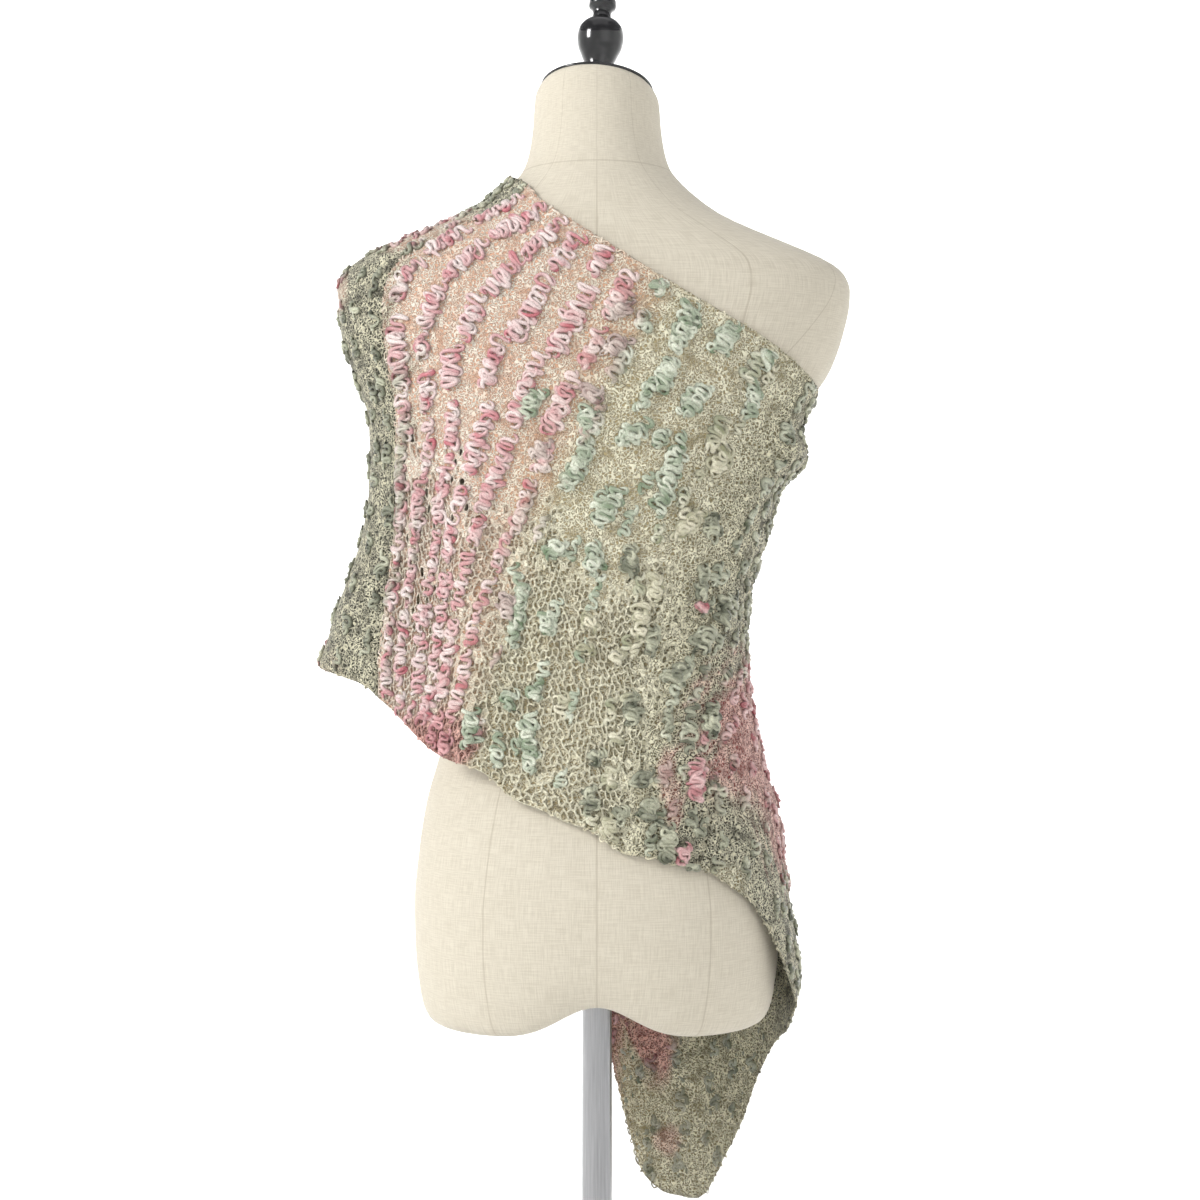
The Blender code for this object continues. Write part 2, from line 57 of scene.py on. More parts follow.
# %% [markdown]
# ## The camera
#
# The picture is a square taken from behind, level with the waist. A long lens far away would flatten the form and a
# short one would swell it, so the distance is the one at which the far rim of the neck and the underside of the hips
# show as much as they do in the picture. The field of view then follows from the width that the frame takes in.

# %% Place the camera
CAMERA_PLACE = Vector((-0.0025, 1.7, 0.652))
FRAME_HALF_WIDTH = 0.504

lens = bpy.data.cameras.new("picture_camera")
lens.sensor_fit = "HORIZONTAL"
lens.angle = 2 * atan(FRAME_HALF_WIDTH / CAMERA_PLACE.y)
camera = bpy.data.objects.new("picture_camera", lens)
camera.location = CAMERA_PLACE
camera.rotation_euler = (radians(90), 0, radians(180))
bpy.context.scene.collection.objects.link(camera)
bpy.context.scene.camera = camera
print("field of view:", round(lens.angle * 180 / pi, 1), "degrees")

# %% [markdown]
# ## Colours and node materials
#
# A colour is easiest to choose as it looks on a screen, from 0 to 255, but shaders work in linear light. One small
# function changes between the two. A class makes a material and holds the steps that most finishes share, so that
# each finish below is only the few nodes that are its own.

# %% Helpers for colours and materials
def dye(red, green, blue):
    """A screen colour from 0 to 255, as linear light."""
    share = np.array([red, green, blue]) / 255
    return np.where(share <= 0.04045, share / 12.92, ((share + 0.055) / 1.055) ** 2.4)


class Finish:
    """A node material under construction."""

    def __init__(self, name, roughness, **sockets):
        self.material = bpy.data.materials.new(name)
        self.material.use_nodes = True
        self.nodes = self.material.node_tree.nodes
        self.shader = self.nodes["Principled BSDF"]
        self.shader.inputs["Roughness"].default_value = roughness
        for socket, value in sockets.items():
            self.shader.inputs[socket.replace("_", " ").title()].default_value = value

    def add(self, kind, **settings):
        node = self.nodes.new(kind)
        for name, value in settings.items():
            if name in node.inputs:
                node.inputs[name].default_value = value
            else:
                setattr(node, name, value)
        return node

    def join(self, start, end):
        self.material.node_tree.links.new(start, end)

    def noise(self, place, **settings):
        """A noise that is read at a place."""
        node = self.add("ShaderNodeTexNoise", **settings)
        self.join(place, node.inputs["Vector"])
        return node.outputs["Fac"]

    def streaks(self, place, scale, detail, roughness):
        """Noise stretched into threads or scratches: many to the metre one way, few the other."""
        stretch = self.add("ShaderNodeMapping", Scale=scale)
        self.join(place, stretch.inputs["Vector"])
        return self.noise(stretch.outputs["Vector"], Scale=1.0, Detail=detail, Roughness=roughness)

    def polish(self, value, low, high):
        """Let a value from 0 to 1 move the roughness between two numbers."""
        spread = self.add("ShaderNodeMapRange")
        spread.inputs["To Min"].default_value = low
        spread.inputs["To Max"].default_value = high
        self.join(value, spread.inputs["Value"])
        self.join(spread.outputs["Result"], self.shader.inputs["Roughness"])

    def emboss(self, height, strength, distance):
        """Let a height from 0 to 1 stand up from the surface."""
        bump = self.add("ShaderNodeBump", Strength=strength, Distance=distance)
        self.join(height, bump.inputs["Height"])
        self.join(bump.outputs["Normal"], self.shader.inputs["Normal"])


def plain_colour(rgb):
    return (*[float(part) for part in rgb], 1.0)


# %% [markdown]
# ## The studio
#
# The picture has a plain white surround. Here that is a pale floor that rises into a wall in one curve, like a
# shallow bowl, so no corner or horizon shows from any side. It is turned from a short profile with the spin operator.

# %% Build the bowl of the studio
BOWL_RADIUS = 4.6
BOWL_BEND = 1.2
BOWL_HEIGHT = 3.4
BOWL_SEGMENTS = 96
PAPER_GLOW = 0.10


def spun(profile, segments):
    """Turn (radius, height) points round the Z axis into a closed or open shell."""
    bm = bmesh.new()
    points = [bm.verts.new((radius, 0.0, height)) for radius, height in profile]
    edges = [bm.edges.new(pair) for pair in zip(points, points[1:])]
    bmesh.ops.spin(bm, geom=points + edges, cent=(0, 0, 0), axis=(0, 0, 1), angle=2 * pi,
                   steps=segments, use_merge=True)
    bmesh.ops.remove_doubles(bm, verts=bm.verts, dist=0.000001)
    bmesh.ops.recalc_face_normals(bm, faces=bm.faces)
    return bm


def add_piece(name, bm, finish):
    """Turn a bmesh into a smooth-shaded object with one finish."""
    mesh = bpy.data.meshes.new(name)
    bm.to_mesh(mesh)
    bm.free()
    mesh.shade_smooth()
    mesh.materials.append(finish)
    piece = bpy.data.objects.new(name, mesh)
    bpy.context.scene.collection.objects.link(piece)
    return piece


paper = Finish("studio_paper", 0.9)
paper.shader.inputs["Base Color"].default_value = plain_colour(dye(246, 246, 245))
paper.shader.inputs["Emission Color"].default_value = plain_colour(dye(255, 255, 255))
paper.shader.inputs["Emission Strength"].default_value = PAPER_GLOW
bend = [(BOWL_RADIUS - BOWL_BEND + BOWL_BEND * np.sin(turn), BOWL_BEND * (1 - np.cos(turn)))
        for turn in np.linspace(0, pi / 2, 13)]
bowl = add_piece("studio", spun([(0.0, 0.0), (1.0, 0.0), *bend, (BOWL_RADIUS, BOWL_HEIGHT)], BOWL_SEGMENTS),
                 paper.material)

# %% Hang the lights
WAIST = (0.0, 0.0, 0.65)
Lamp = namedtuple("Lamp", "name place size power aim")
LAMPS = [
    Lamp("key_light", (2.7, 1.5, 2.4), 0.9, 59, WAIST),
    Lamp("fill_light", (-1.2, 2.6, 1.8), 2.0, 5, WAIST),
    Lamp("front_light", (0.6, -2.6, 2.0), 2.0, 2, WAIST),
    Lamp("top_light", (0.0, 0.2, 3.2), 2.4, 8, WAIST),
    Lamp("wall_light", (0.0, -1.6, 2.8), 2.0, 165, (0.0, -4.6, 0.8)),
]


def hang_lamp(lamp):
    light = bpy.data.lights.new(lamp.name, "AREA")
    light.size = lamp.size
    light.energy = lamp.power
    made = bpy.data.objects.new(lamp.name, light)
    made.location = lamp.place
    made.rotation_euler = (Vector(lamp.aim) - made.location).to_track_quat("-Z", "Y").to_euler()
    bpy.context.scene.collection.objects.link(made)


for lamp in LAMPS:
    hang_lamp(lamp)

SKY_STRENGTH = 0.32
sky = bpy.data.worlds.new("studio_sky")
sky.use_nodes = True
sky.node_tree.nodes["Background"].inputs["Color"].default_value = plain_colour(dye(250, 251, 255))
sky.node_tree.nodes["Background"].inputs["Strength"].default_value = SKY_STRENGTH
bpy.context.scene.world = sky
bpy.context.scene.view_settings.view_transform = "Standard"

# %% [markdown]
# ## Smooth curves through a few sections
#
# A dress form is described the way a pattern cutter measures it: at each height, how far it reaches to the side, to
# the back and to the front. A curve through those measures must not overshoot between them, or the form would get
# waves, so each tangent is a weighted mean of its two slopes. The same helper serves the cloth further down.

# %% Curves and ovals
def wrap(angle):
    """Bring an angle into the half turn on either side of zero."""
    return (angle + pi) % (2 * pi) - pi


def rise_over(value, low, high):
    """A smooth step from 0 below low to 1 above high."""
    share = np.clip((value - low) / (high - low), 0, 1)
    return share * share * (3 - 2 * share)


def smooth_curve(knots, values):
    """A smooth curve through the knots that does not overshoot between them."""
    order = np.argsort(knots)
    x = np.array(knots, float)[order]
    y = np.array(values, float)[order]
    step = np.diff(x)
    slope = np.diff(y) / step
    tangent = np.zeros(len(y))
    tangent[0] = slope[0]
    tangent[-1] = slope[-1]
    for i in range(1, len(y) - 1):
        if slope[i - 1] * slope[i] > 0:
            before = 2 * step[i] + step[i - 1]
            after = step[i] + 2 * step[i - 1]
            tangent[i] = (before + after) / (before / slope[i - 1] + after / slope[i])

    def at(value):
        value = np.clip(value, x[0], x[-1])
        i = np.clip(np.searchsorted(x, value) - 1, 0, len(step) - 1)
        s = (value - x[i]) / step[i]
        ends = y[i] * (1 + 2 * s) * (1 - s) ** 2 + y[i + 1] * s * s * (3 - 2 * s)
        return ends + step[i] * s * (1 - s) * (tangent[i] * (1 - s) - tangent[i + 1] * s)

    return at


def columns_of(rows):
    """One smooth curve over z for each named column of a table of sections."""
    return {name: smooth_curve([row.z for row in rows], [getattr(row, name) for row in rows])
            for name in rows[0]._fields if name != "z"}


def oval(angle, left, right, back, front, power):
    """Radius of a rounded oval with its own reach on each of four sides."""
    across = np.abs(np.sin(angle)) / np.where(np.sin(angle) > 0, left, right)
    along = np.abs(np.cos(angle)) / np.where(np.cos(angle) > 0, back, front)
    return (across ** power + along ** power) ** (-1 / power)


# %% The sections of the dress form
FORM_BOTTOM = 0.300
ARCH_RISE = 0.027
ARCH_WIDTH = 0.041
ARCH_FADE_TOP = 0.420
SEAT_Z = 0.319
SEAT_RADIUS = 0.030
SEAT_BLEND = 0.022
NECK_TOP = 1.0785
NECK_SLANT_BACK = 0.24
NECK_SLANT_SIDE = 0.06
NECK_SLANT_START = 1.030
BUST_ANGLE = radians(152)
BUST_Z = 0.780
BUST_RISE = 0.022
BUST_SPREAD = radians(18)
BUST_HEIGHT = 0.045

FormRow = namedtuple("FormRow", "z half_width back front power")
FORM_ROWS = [
    FormRow(1.0785, 0.0465, 0.0465, 0.0480, 2.00),
    FormRow(1.0755, 0.0495, 0.0490, 0.0510, 2.00),
    FormRow(1.0700, 0.0520, 0.0510, 0.0530, 2.00),
    FormRow(1.047, 0.0538, 0.0535, 0.0540, 2.00),
    FormRow(1.026, 0.0570, 0.0570, 0.0530, 2.00),
    FormRow(1.013, 0.0612, 0.0610, 0.0540, 2.00),
    FormRow(1.006, 0.0655, 0.0640, 0.0550, 2.00),
    FormRow(0.990, 0.0815, 0.0710, 0.0570, 2.00),
    FormRow(0.973, 0.1050, 0.0770, 0.0600, 2.00),
    FormRow(0.959, 0.1350, 0.0810, 0.0630, 2.05),
    FormRow(0.942, 0.1770, 0.0850, 0.0670, 2.10),
    FormRow(0.931, 0.1990, 0.0880, 0.0700, 2.15),
    FormRow(0.923, 0.2075, 0.0900, 0.0730, 2.20),
    FormRow(0.911, 0.2120, 0.0920, 0.0770, 2.25),
    FormRow(0.899, 0.2115, 0.0940, 0.0810, 2.30),
    FormRow(0.878, 0.2072, 0.0970, 0.0900, 2.30),
    FormRow(0.844, 0.1955, 0.1000, 0.1010, 2.30),
    FormRow(0.812, 0.1745, 0.1010, 0.1060, 2.25),
    FormRow(0.778, 0.1595, 0.0990, 0.1070, 2.20),
    FormRow(0.736, 0.1450, 0.0930, 0.1030, 2.15),
    FormRow(0.694, 0.1320, 0.0850, 0.0950, 2.10),
    FormRow(0.652, 0.1225, 0.0780, 0.0880, 2.10),
    FormRow(0.618, 0.1195, 0.0760, 0.0860, 2.10),
    FormRow(0.568, 0.1235, 0.0830, 0.0900, 2.10),
    FormRow(0.526, 0.1310, 0.0950, 0.0940, 2.10),
    FormRow(0.484, 0.1425, 0.1070, 0.0960, 2.15),
    FormRow(0.442, 0.1490, 0.1160, 0.0970, 2.20),
    FormRow(0.400, 0.1525, 0.1200, 0.0970, 2.25),
    FormRow(0.362, 0.1515, 0.1170, 0.0960, 2.30),
    FormRow(0.333, 0.1485, 0.1110, 0.0940, 2.30),
    FormRow(0.317, 0.1455, 0.1050, 0.0910, 2.30),
    FormRow(0.307, 0.1410, 0.1000, 0.0870, 2.30),
    FormRow(0.302, 0.1345, 0.0930, 0.0810, 2.30),
    FormRow(0.300, 0.1230, 0.0850, 0.0740, 2.30),
]
FORM = columns_of(FORM_ROWS)


def form_radius(angle, z):
    """Radius of the torso, bust included."""
    half = FORM["half_width"](z)
    radius = oval(angle, half, half, FORM["back"](z), FORM["front"](z), FORM["power"](z))
    for side in (-BUST_ANGLE, BUST_ANGLE):
        turn = wrap(angle - side) / BUST_SPREAD
        rise = (z - BUST_Z) / BUST_HEIGHT
        radius = radius + BUST_RISE * np.exp(-turn ** 2 - rise ** 2)
    return radius


print("form:", round(2 * float(FORM["half_width"](0.911)) * 1000), "mm across the shoulders")

# %% [markdown]
# ## The covered torso
#
# The form is a padded shell under tight linen. A grid is the easiest start for a shape that is wrapped round: its
# columns become directions round the figure and its rows become sections from the neck down to the hips and in
# under them, where the last row closes to a point over the pole. The side edges of the grid then meet and are
# welded. The grid's own flat place is kept as a UV map in metres, because the weave and the seams run with the cloth.

# %% Wrap the torso
TORSO_COLUMNS = 144
TORSO_STEP = 0.0075
UNDERSIDE_SHARES = (0.93, 0.86, 0.76, 0.66, 0.56, 0.46, 0.40, 0.34, 0.29, 0.25, 0.12, 0.0)
NECK_SHARES = (0.0, 0.5, 0.9)
TORSO_GIRTH = 0.84


def arch_at(x):
    """How far the underside rises between the two thigh stumps."""
    return ARCH_RISE * np.exp(-(x / ARCH_WIDTH) ** 2)


def form_ring(z, steps):
    """Points of one section of the torso, closer together where it bends more."""
    depth = (FORM["back"](z) + FORM["front"](z)) / 2
    angle = np.arctan2(FORM["half_width"](z) * np.sin(steps), depth * np.cos(steps))
    radius = form_radius(angle, np.full(len(steps), z))
    x = radius * np.sin(angle)
    y = radius * np.cos(angle)
    slant = np.clip((z - NECK_SLANT_START) / (NECK_TOP - NECK_SLANT_START), 0, 1)
    low = np.clip((ARCH_FADE_TOP - z) / (ARCH_FADE_TOP - FORM_BOTTOM), 0, 1)
    tilt = NECK_SLANT_BACK * y + NECK_SLANT_SIDE * x
    return np.stack([x, y, z + tilt * slant ** 2 + arch_at(x) * low ** 2], axis=1)


def underside_ring(rim, share):
    """A ring of the underside: the arch, flattened round the pole into a seat for the flange."""
    x = rim[:, 0] * share
    y = rim[:, 1] * share
    away = rise_over(np.hypot(x, y), SEAT_RADIUS, SEAT_RADIUS + SEAT_BLEND)
    z = SEAT_Z + (FORM_BOTTOM + arch_at(x) - SEAT_Z) * away
    return np.stack([x, y, z], axis=1)


def neck_ring(rim, share):
    """A ring of the slanted flat top of the neck."""
    middle = np.array([0.0, 0.0, NECK_TOP])
    return middle + (rim - middle) * share


def section_heights():
    """Heights of the sections, with even steps between the rows of the table."""
    heights = [FORM_ROWS[0].z]
    for upper, lower in zip(FORM_ROWS, FORM_ROWS[1:]):
        parts = max(2, round((upper.z - lower.z) / TORSO_STEP))
        heights += list(np.linspace(upper.z, lower.z, parts + 1)[1:])
    return heights


def wrap_torso(finish):
    steps = np.linspace(-pi, pi, TORSO_COLUMNS + 1)
    rings = [form_ring(z, steps) for z in section_heights()]
    rings = [neck_ring(rings[0], share) for share in NECK_SHARES] + rings
    rings += [underside_ring(rings[-1], share) for share in UNDERSIDE_SHARES]
    bm = bmesh.new()
    bmesh.ops.create_grid(bm, x_segments=TORSO_COLUMNS, y_segments=len(rings) - 1, size=0.5)
    places = {}
    for vert in bm.verts:
        column = round((vert.co.x + 0.5) * TORSO_COLUMNS)
        row = round((0.5 - vert.co.y) * (len(rings) - 1))
        places[vert] = (steps[column] / (2 * pi) * TORSO_GIRTH, float(rings[row][column][2]))
        vert.co = Vector(rings[row][column])
    cloth = bm.loops.layers.uv.new("cloth")
    for face in bm.faces:
        for loop in face.loops:
            loop[cloth].uv = places[loop.vert]
    bmesh.ops.remove_doubles(bm, verts=bm.verts, dist=0.000002)
    bmesh.ops.recalc_face_normals(bm, faces=bm.faces)
    print("torso:", len(bm.faces), "faces")
    return add_piece("linen_torso", bm, finish)


# %% [markdown]
# The linen is a plain weave of uneven threads: each thread is a long thin streak of noise, one set upright and one
# set level, and slubs are a few thicker and darker streaks among them. The seams of the cover are drawn as thin
# grooves at fixed places on the cloth: one down the middle, two princess seams, one round the neck, and one inside
# each shoulder cap.

# %% Weave the linen
THREADS_ACROSS = (1300, 60, 1)
THREADS_ALONG = (60, 1300, 1)
THICK_THREADS = (40, 700, 1)
THREAD_DETAIL = 3.0
THREAD_ROUGHNESS = 0.6
LINEN_LIGHT = dye(230, 222, 204)
LINEN_DARK = dye(214, 205, 186)
LINEN_SEAM = dye(184, 172, 150)
SEAM_HALF_WIDTH = 0.0006
UPRIGHT_SEAMS = (0.0, -0.075, 0.075)
NECK_SEAM = 1.008
ARMHOLE_REACH = 0.154
ARMHOLE_TOP = 0.929
ARMHOLE_SLANT = 0.55
ARMHOLE_END = 0.80


def maths(finish, operation, first, second=None):
    """One step of arithmetic between sockets or numbers."""
    node = finish.add("ShaderNodeMath", operation=operation)
    for socket, value in zip(node.inputs, (first, second)):
        if isinstance(value, (int, float)):
            socket.default_value = value
        elif value is not None:
            finish.join(value, socket)
    return node.outputs["Value"]


def mixed(finish, share, first, second):
    """A colour between two, each a socket or a fixed colour."""
    node = finish.add("ShaderNodeMix", data_type="RGBA")
    colours = [socket for socket in node.inputs if socket.type == "RGBA"]
    factor = node.inputs[0]
    for socket, value in zip((factor, *colours), (share, first, second)):
        if isinstance(value, bpy.types.NodeSocket):
            finish.join(value, socket)
        elif isinstance(value, (int, float)):
            socket.default_value = value
        else:
            socket.default_value = plain_colour(value)
    return next(socket for socket in node.outputs if socket.type == "RGBA")


def ramp(finish, value, low, high):
    """Stretch values between low and high to the whole range from 0 to 1, smoothly."""
    node = finish.add("ShaderNodeMapRange", interpolation_type="SMOOTHSTEP")
    node.inputs["From Min"].default_value = low
    node.inputs["From Max"].default_value = high
    finish.join(value, node.inputs["Value"])
    return node.outputs["Result"]


def seam_mask(finish, uv_parts):
    """1 on the lines of the cover's seams, 0 elsewhere."""
    across, height = uv_parts.outputs["X"], uv_parts.outputs["Y"]

    def line_where(off):
        return maths(finish, "LESS_THAN", maths(finish, "ABSOLUTE", off), SEAM_HALF_WIDTH)

    lines = [line_where(maths(finish, "SUBTRACT", across, place)) for place in UPRIGHT_SEAMS]
    lines.append(line_where(maths(finish, "SUBTRACT", height, NECK_SEAM)))
    reach = maths(finish, "SUBTRACT", maths(finish, "ABSOLUTE", across), ARMHOLE_REACH)
    slant = maths(finish, "MULTIPLY", maths(finish, "SUBTRACT", ARMHOLE_TOP, height), ARMHOLE_SLANT)
    above = maths(finish, "GREATER_THAN", height, ARMHOLE_END)
    lines.append(maths(finish, "MULTIPLY", line_where(maths(finish, "ADD", reach, slant)), above))
    total = lines[0]
    for line in lines[1:]:
        total = maths(finish, "MAXIMUM", total, line)
    return total


def weave_linen():
    finish = Finish("linen", 0.92, sheen_weight=0.15)
    uv = finish.add("ShaderNodeUVMap", uv_map="cloth").outputs["UV"]
    upright, level, thick = (finish.streaks(uv, scale, THREAD_DETAIL, THREAD_ROUGHNESS)
                             for scale in (THREADS_ACROSS, THREADS_ALONG, THICK_THREADS))
    slubs = ramp(finish, thick, 0.60, 0.76)
    weave = maths(finish, "MULTIPLY", maths(finish, "ADD", upright, level), 0.5)
    toned = mixed(finish, ramp(finish, weave, 0.38, 0.62), LINEN_DARK, LINEN_LIGHT)
    slubbed = mixed(finish, maths(finish, "MULTIPLY", slubs, 0.5), toned, LINEN_DARK)
    parts = finish.add("ShaderNodeSeparateXYZ")
    finish.join(uv, parts.inputs["Vector"])
    seams = seam_mask(finish, parts)
    colour = mixed(finish, maths(finish, "MULTIPLY", seams, 0.40), slubbed, LINEN_SEAM)
    finish.join(colour, finish.shader.inputs["Base Color"])
    finish.emboss(maths(finish, "SUBTRACT", weave, seams), 0.35, 0.0006)
    return finish.material


torso = wrap_torso(weave_linen())
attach(torso, "root")
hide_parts("form_torso")

# %% [markdown]
# ## The neck cap and the finial
#
# Both are turned wood under glossy black lacquer. Turned work is a profile spun round an axis. The profile is read
# from a smooth curve through the few radii that the solid has, and the axis is square to the slanted neck.

# %% Turn the cap and the finial
FIT_GAP = 0.0003
CAP_RADIUS = 0.0475
CAP_THICKNESS = 0.0030
CAP_DOME = 0.0012
FinialRow = namedtuple("FinialRow", "height radius")
FINIAL_ROWS = [
    FinialRow(0.0000, 0.0150),
    FinialRow(0.0040, 0.0150),
    FinialRow(0.0080, 0.0125),
    FinialRow(0.0130, 0.0115),
    FinialRow(0.0190, 0.0120),
    FinialRow(0.0280, 0.0152),
    FinialRow(0.0370, 0.0188),
    FinialRow(0.0450, 0.0200),
    FinialRow(0.0515, 0.0192),
    FinialRow(0.0575, 0.0155),
    FinialRow(0.0625, 0.0090),
    FinialRow(0.0670, 0.0078),
    FinialRow(0.0710, 0.0088),
    FinialRow(0.0740, 0.0116),
    FinialRow(0.0780, 0.0118),
    FinialRow(0.0830, 0.0085),
    FinialRow(0.0860, 0.0040),
]
neck_axis = Vector((-NECK_SLANT_SIDE, -NECK_SLANT_BACK, 1.0))
NECK_PLACE = Matrix.Translation((0, 0, NECK_TOP)) @ neck_axis.to_track_quat("Z", "Y").to_matrix().to_4x4()


def lacquer():
    finish = Finish("black_lacquer", 0.16, coat_weight=0.6, coat_roughness=0.06)
    place = finish.add("ShaderNodeTexCoord").outputs["Object"]
    grain = finish.noise(place, Scale=160.0, Detail=4.0)
    colour = mixed(finish, grain, dye(9, 9, 11), dye(24, 23, 25))
    finish.join(colour, finish.shader.inputs["Base Color"])
    finish.polish(grain, 0.10, 0.26)
    finish.emboss(grain, 0.05, 0.0003)
    return finish.material


def turn_piece(name, profile, segments, finish):
    bm = spun(profile, segments)
    bmesh.ops.transform(bm, matrix=NECK_PLACE, verts=bm.verts)
    return add_piece(name, bm, finish)


black = lacquer()
rim = CAP_THICKNESS / 2
edge = [(CAP_RADIUS - rim + rim * np.cos(turn), FIT_GAP + rim + rim * np.sin(turn))
        for turn in np.linspace(-pi / 2, pi / 2, 9)]
dome = [(CAP_RADIUS * share, FIT_GAP + CAP_THICKNESS + CAP_DOME * (1 - share ** 2))
        for share in (0.85, 0.6, 0.35, 0.15, 0.0)]
cap = turn_piece("lacquered_cap", [(0.0, FIT_GAP), *edge, *dome], 96, black)
foot = 2 * FIT_GAP + CAP_THICKNESS + CAP_DOME
radius_at = smooth_curve([row.height for row in FINIAL_ROWS], [row.radius for row in FINIAL_ROWS])
heights = np.linspace(0, FINIAL_ROWS[-1].height, 73)
peak = foot + FINIAL_ROWS[-1].height + FINIAL_ROWS[-1].radius / 4
stem = [(float(radius_at(height)), foot + float(height)) for height in heights]
finial = turn_piece("lacquered_finial", [(0.0, foot), *stem, (0.0, peak)], 64, black)
for piece, node in ((cap, "neck_cap"), (finial, "finial")):
    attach(piece, "root")
    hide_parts(node)
print("finial:", len(finial.data.polygons), "faces")

# %% [markdown]
# ## The steel of the stand
#
# The pole and the base keep the solids' own meshes, which already have the right shape. Their steel is brushed: the
# scratches are noise that is very fine along one direction and long along the other.

# %% Brush the steel
def brushed_steel():
    finish = Finish("grey_steel", 0.35, metallic=1.0)
    place = finish.add("ShaderNodeTexCoord").outputs["Object"]
    brushing = finish.streaks(place, (900.0, 900.0, 25.0), 2.0, 0.5)
    colour = mixed(finish, brushing, dye(150, 150, 152), dye(196, 196, 198))
    finish.join(colour, finish.shader.inputs["Base Color"])
    finish.polish(brushing, 0.24, 0.46)
    finish.emboss(brushing, 0.1, 0.0002)
    return finish.material


steel = brushed_steel()
for node in ("pole", "base"):
    for material_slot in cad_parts[node].material_slots:
        material_slot.material = steel

# %% [markdown]
# ## The surface that the cloth hangs on
#
# The cloth rests on the torso where it touches and hangs free elsewhere. Both are known by their radius in a
# direction at a height, so the cloth's surface is the larger of the two radii with a soft corner between them, and
# a few long folds are added as soft ridges and troughs. These are the measures that the solids have.

# %% The drape, its edges and its folds
DrapeRow = namedtuple("DrapeRow", "z left right back front")
DRAPE_ROWS = [
    DrapeRow(1.050, 0.0450, 0.0450, 0.0400, 0.0400),
    DrapeRow(0.980, 0.0850, 0.0800, 0.0660, 0.0520),
    DrapeRow(0.930, 0.1930, 0.1300, 0.0850, 0.0680),
    DrapeRow(0.904, 0.2085, 0.1500, 0.0930, 0.0800),
    DrapeRow(0.879, 0.2070, 0.1500, 0.0975, 0.0950),
    DrapeRow(0.854, 0.1990, 0.1500, 0.1000, 0.1080),
    DrapeRow(0.828, 0.1920, 0.1450, 0.1010, 0.1170),
    DrapeRow(0.803, 0.1845, 0.1420, 0.1010, 0.1230),
    DrapeRow(0.770, 0.1835, 0.1450, 0.1000, 0.1270),
    DrapeRow(0.736, 0.1855, 0.1420, 0.0980, 0.1280),
    DrapeRow(0.702, 0.1920, 0.1360, 0.0945, 0.1265),
    DrapeRow(0.669, 0.2035, 0.1250, 0.0910, 0.1250),
    DrapeRow(0.644, 0.2130, 0.1200, 0.0895, 0.1240),
    DrapeRow(0.618, 0.2220, 0.1190, 0.0885, 0.1230),
    DrapeRow(0.600, 0.2290, 0.1195, 0.0880, 0.1220),
    DrapeRow(0.568, 0.2240, 0.1230, 0.0900, 0.1210),
    DrapeRow(0.526, 0.2080, 0.1325, 0.0970, 0.1205),
    DrapeRow(0.484, 0.1920, 0.1380, 0.1070, 0.1195),
    DrapeRow(0.442, 0.1780, 0.1450, 0.1150, 0.1190),
    DrapeRow(0.400, 0.1680, 0.1535, 0.1190, 0.1180),
    DrapeRow(0.346, 0.1600, 0.1640, 0.1190, 0.1165),
    DrapeRow(0.324, 0.1580, 0.1640, 0.1185, 0.1160),
    DrapeRow(0.303, 0.1560, 0.1590, 0.1180, 0.1150),
    DrapeRow(0.200, 0.1500, 0.1480, 0.1150, 0.1120),
    DrapeRow(0.110, 0.1450, 0.1440, 0.1120, 0.1100),
]
DRAPE = columns_of(DRAPE_ROWS)
DRAPE_POWER = 2.4
SOFTNESS = 0.006

Edge = namedtuple("Edge", "angle z")
NECKLINE = [
    Edge(-150, 0.840), Edge(-130, 0.815), Edge(-110, 0.806), Edge(-90, 0.820), Edge(-73, 0.835),
    Edge(-56, 0.867), Edge(-44, 0.887), Edge(-30, 0.907), Edge(-12, 0.929), Edge(12, 0.953),
    Edge(32, 0.973), Edge(47, 0.990), Edge(90, 1.004), Edge(110, 0.990), Edge(130, 0.965),
    Edge(150, 0.935), Edge(180, 0.885),
]
HEM = [
    Edge(-172.0, 0.228), Edge(-168.7, 0.205), Edge(-164.0, 0.161), Edge(-157.0, 0.131), Edge(-148.0, 0.119),
    Edge(-141.0, 0.121), Edge(-135.0, 0.127), Edge(-130.6, 0.144), Edge(-126.0, 0.165), Edge(-121.0, 0.187),
    Edge(-112.7, 0.240), Edge(-100.0, 0.281), Edge(-90.0, 0.298), Edge(-70.6, 0.342), Edge(-62.0, 0.385),
    Edge(-53.0, 0.419), Edge(-39.0, 0.436), Edge(-20.6, 0.449), Edge(-1.3, 0.464), Edge(15.6, 0.480),
    Edge(38.0, 0.504), Edge(57.6, 0.532), Edge(70.0, 0.575), Edge(73.0, 0.587), Edge(80.0, 0.592),
    Edge(95.0, 0.592), Edge(105.0, 0.594), Edge(112.0, 0.588), Edge(120.0, 0.567), Edge(135.0, 0.500),
    Edge(150.0, 0.430), Edge(165.0, 0.360), Edge(180.0, 0.300),
]

